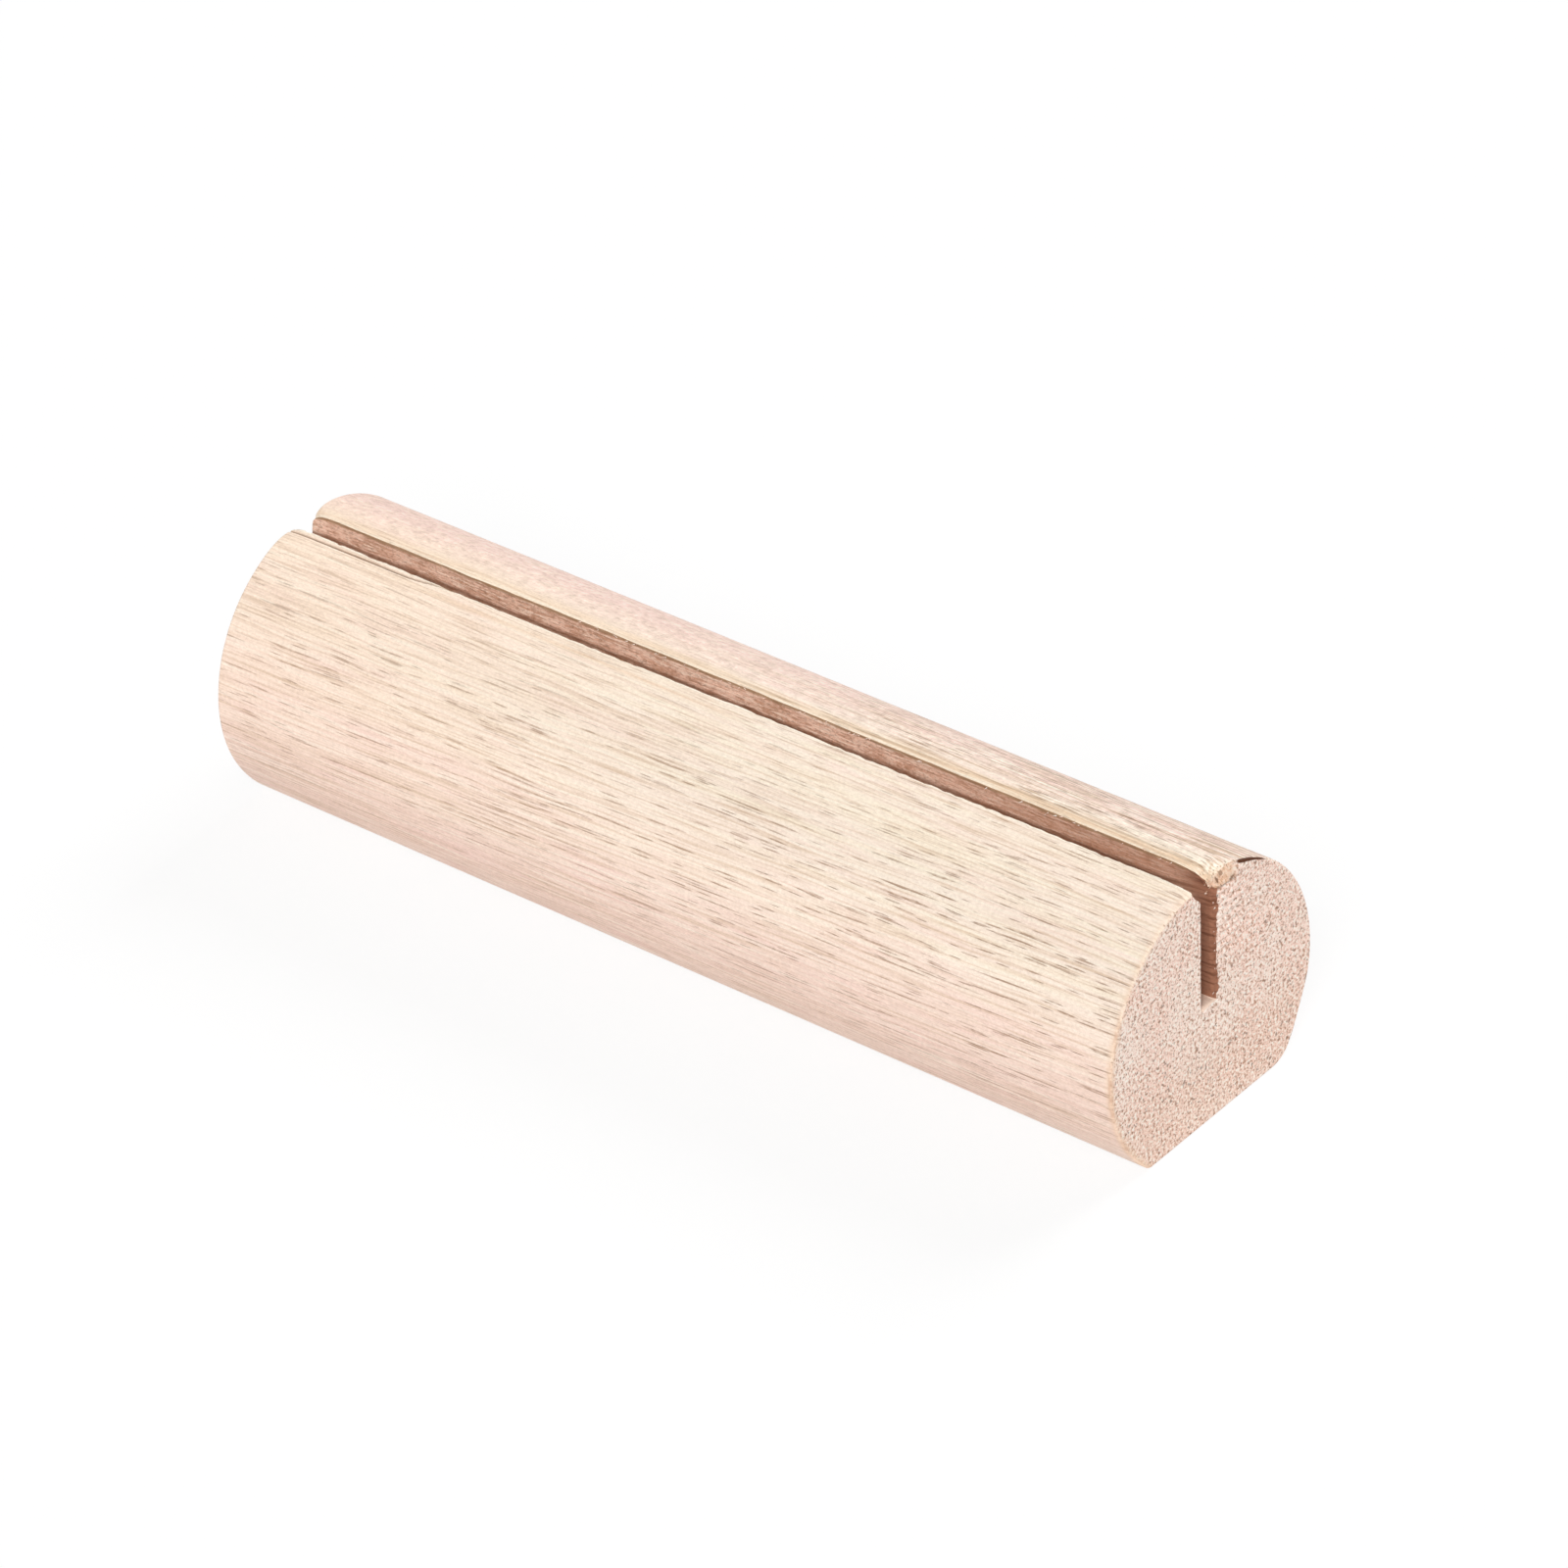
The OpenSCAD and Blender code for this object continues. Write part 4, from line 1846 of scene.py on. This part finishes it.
@dataclass(frozen=True)
class TornEdges:
    """Where the torn fibres stand: round the slot's near end, and along its back lip."""

    bar: WoodenBar
    end_inset: float = 0.22
    wall_inset: float = 0.12
    floor_rise: float = 0.5
    edge_lean: tuple = (-0.1, -0.9, -0.3)
    mouth_start: tuple = (-0.4, -0.3, 0.2)
    mouth_end: tuple = (-0.6, 0.5, 1.0)
    mouth_lean: tuple = (-0.1, -0.9, 0.2)
    lip_inset: float = 0.26
    lip_start: float = -20.0
    lip_end: float = 46.0
    lip_lean: tuple = (-0.9, -0.35, -0.2)

    def lip_point(self, x: float) -> tuple:
        """Return a point just under the back lip, at a place along the bar."""
        return x, self.bar.back_lip_y(x), self.bar.height - self.lip_inset

    def rows(self) -> list[TornFibres]:
        """Lay out the rows of fibres.

        Returns:
            The rows.
        """
        bar = self.bar
        near_x = bar.length / 2 - self.end_inset
        mouth_y, floor_y = bar.near_wall_y(0.0), bar.near_wall_y(1.0)
        corner = (near_x, mouth_y, bar.facet_floor)
        mouth_start, mouth_end = (tuple(part + move for part, move in zip(corner, moves))
                                  for moves in (self.mouth_start, self.mouth_end))
        return [
            TornFibres("near_edge_fibres", (near_x, mouth_y + self.wall_inset, bar.facet_floor),
                       (near_x, floor_y + self.wall_inset, bar.slot_floor_z + self.floor_rise),
                       self.edge_lean, count=7, length=0.34, spread=0.6),
            TornFibres("near_mouth_fibres", mouth_start, mouth_end, self.mouth_lean,
                       count=14, length=0.4, thickness=0.08, scatter=0.25, seed=9),
            TornFibres("back_lip_fibres", self.lip_point(self.lip_start), self.lip_point(self.lip_end),
                       self.lip_lean, count=46, length=0.5, thickness=0.05, seed=14),
        ]


def main() -> None:
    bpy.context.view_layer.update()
    low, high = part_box(BAR_NODE)
    size = (high - low) / MM
    floor = slot_mount()
    radius = size.y / 2
    bar = WoodenBar(size.x, size.z, radius, floor.y, floor.z)
    rim = NearRim(half_length=size.x / 2)
    looks = (SideGrain(rim=rim), EndGrain(rim=rim, facet_floor=bar.facet_floor), SlotWall(floor_z=floor.z))
    finishes = {look.kind: look.make() for look in looks}
    report(bar.build(finishes))
    for fibres in TornEdges(bar).rows():
        report(fibres.build(finishes[Finish.END]))
    Studio(aim_height=size.z - radius).build()
    bpy.context.view_layer.update()
    low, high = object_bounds()


if __name__ == "__main__":
    main()
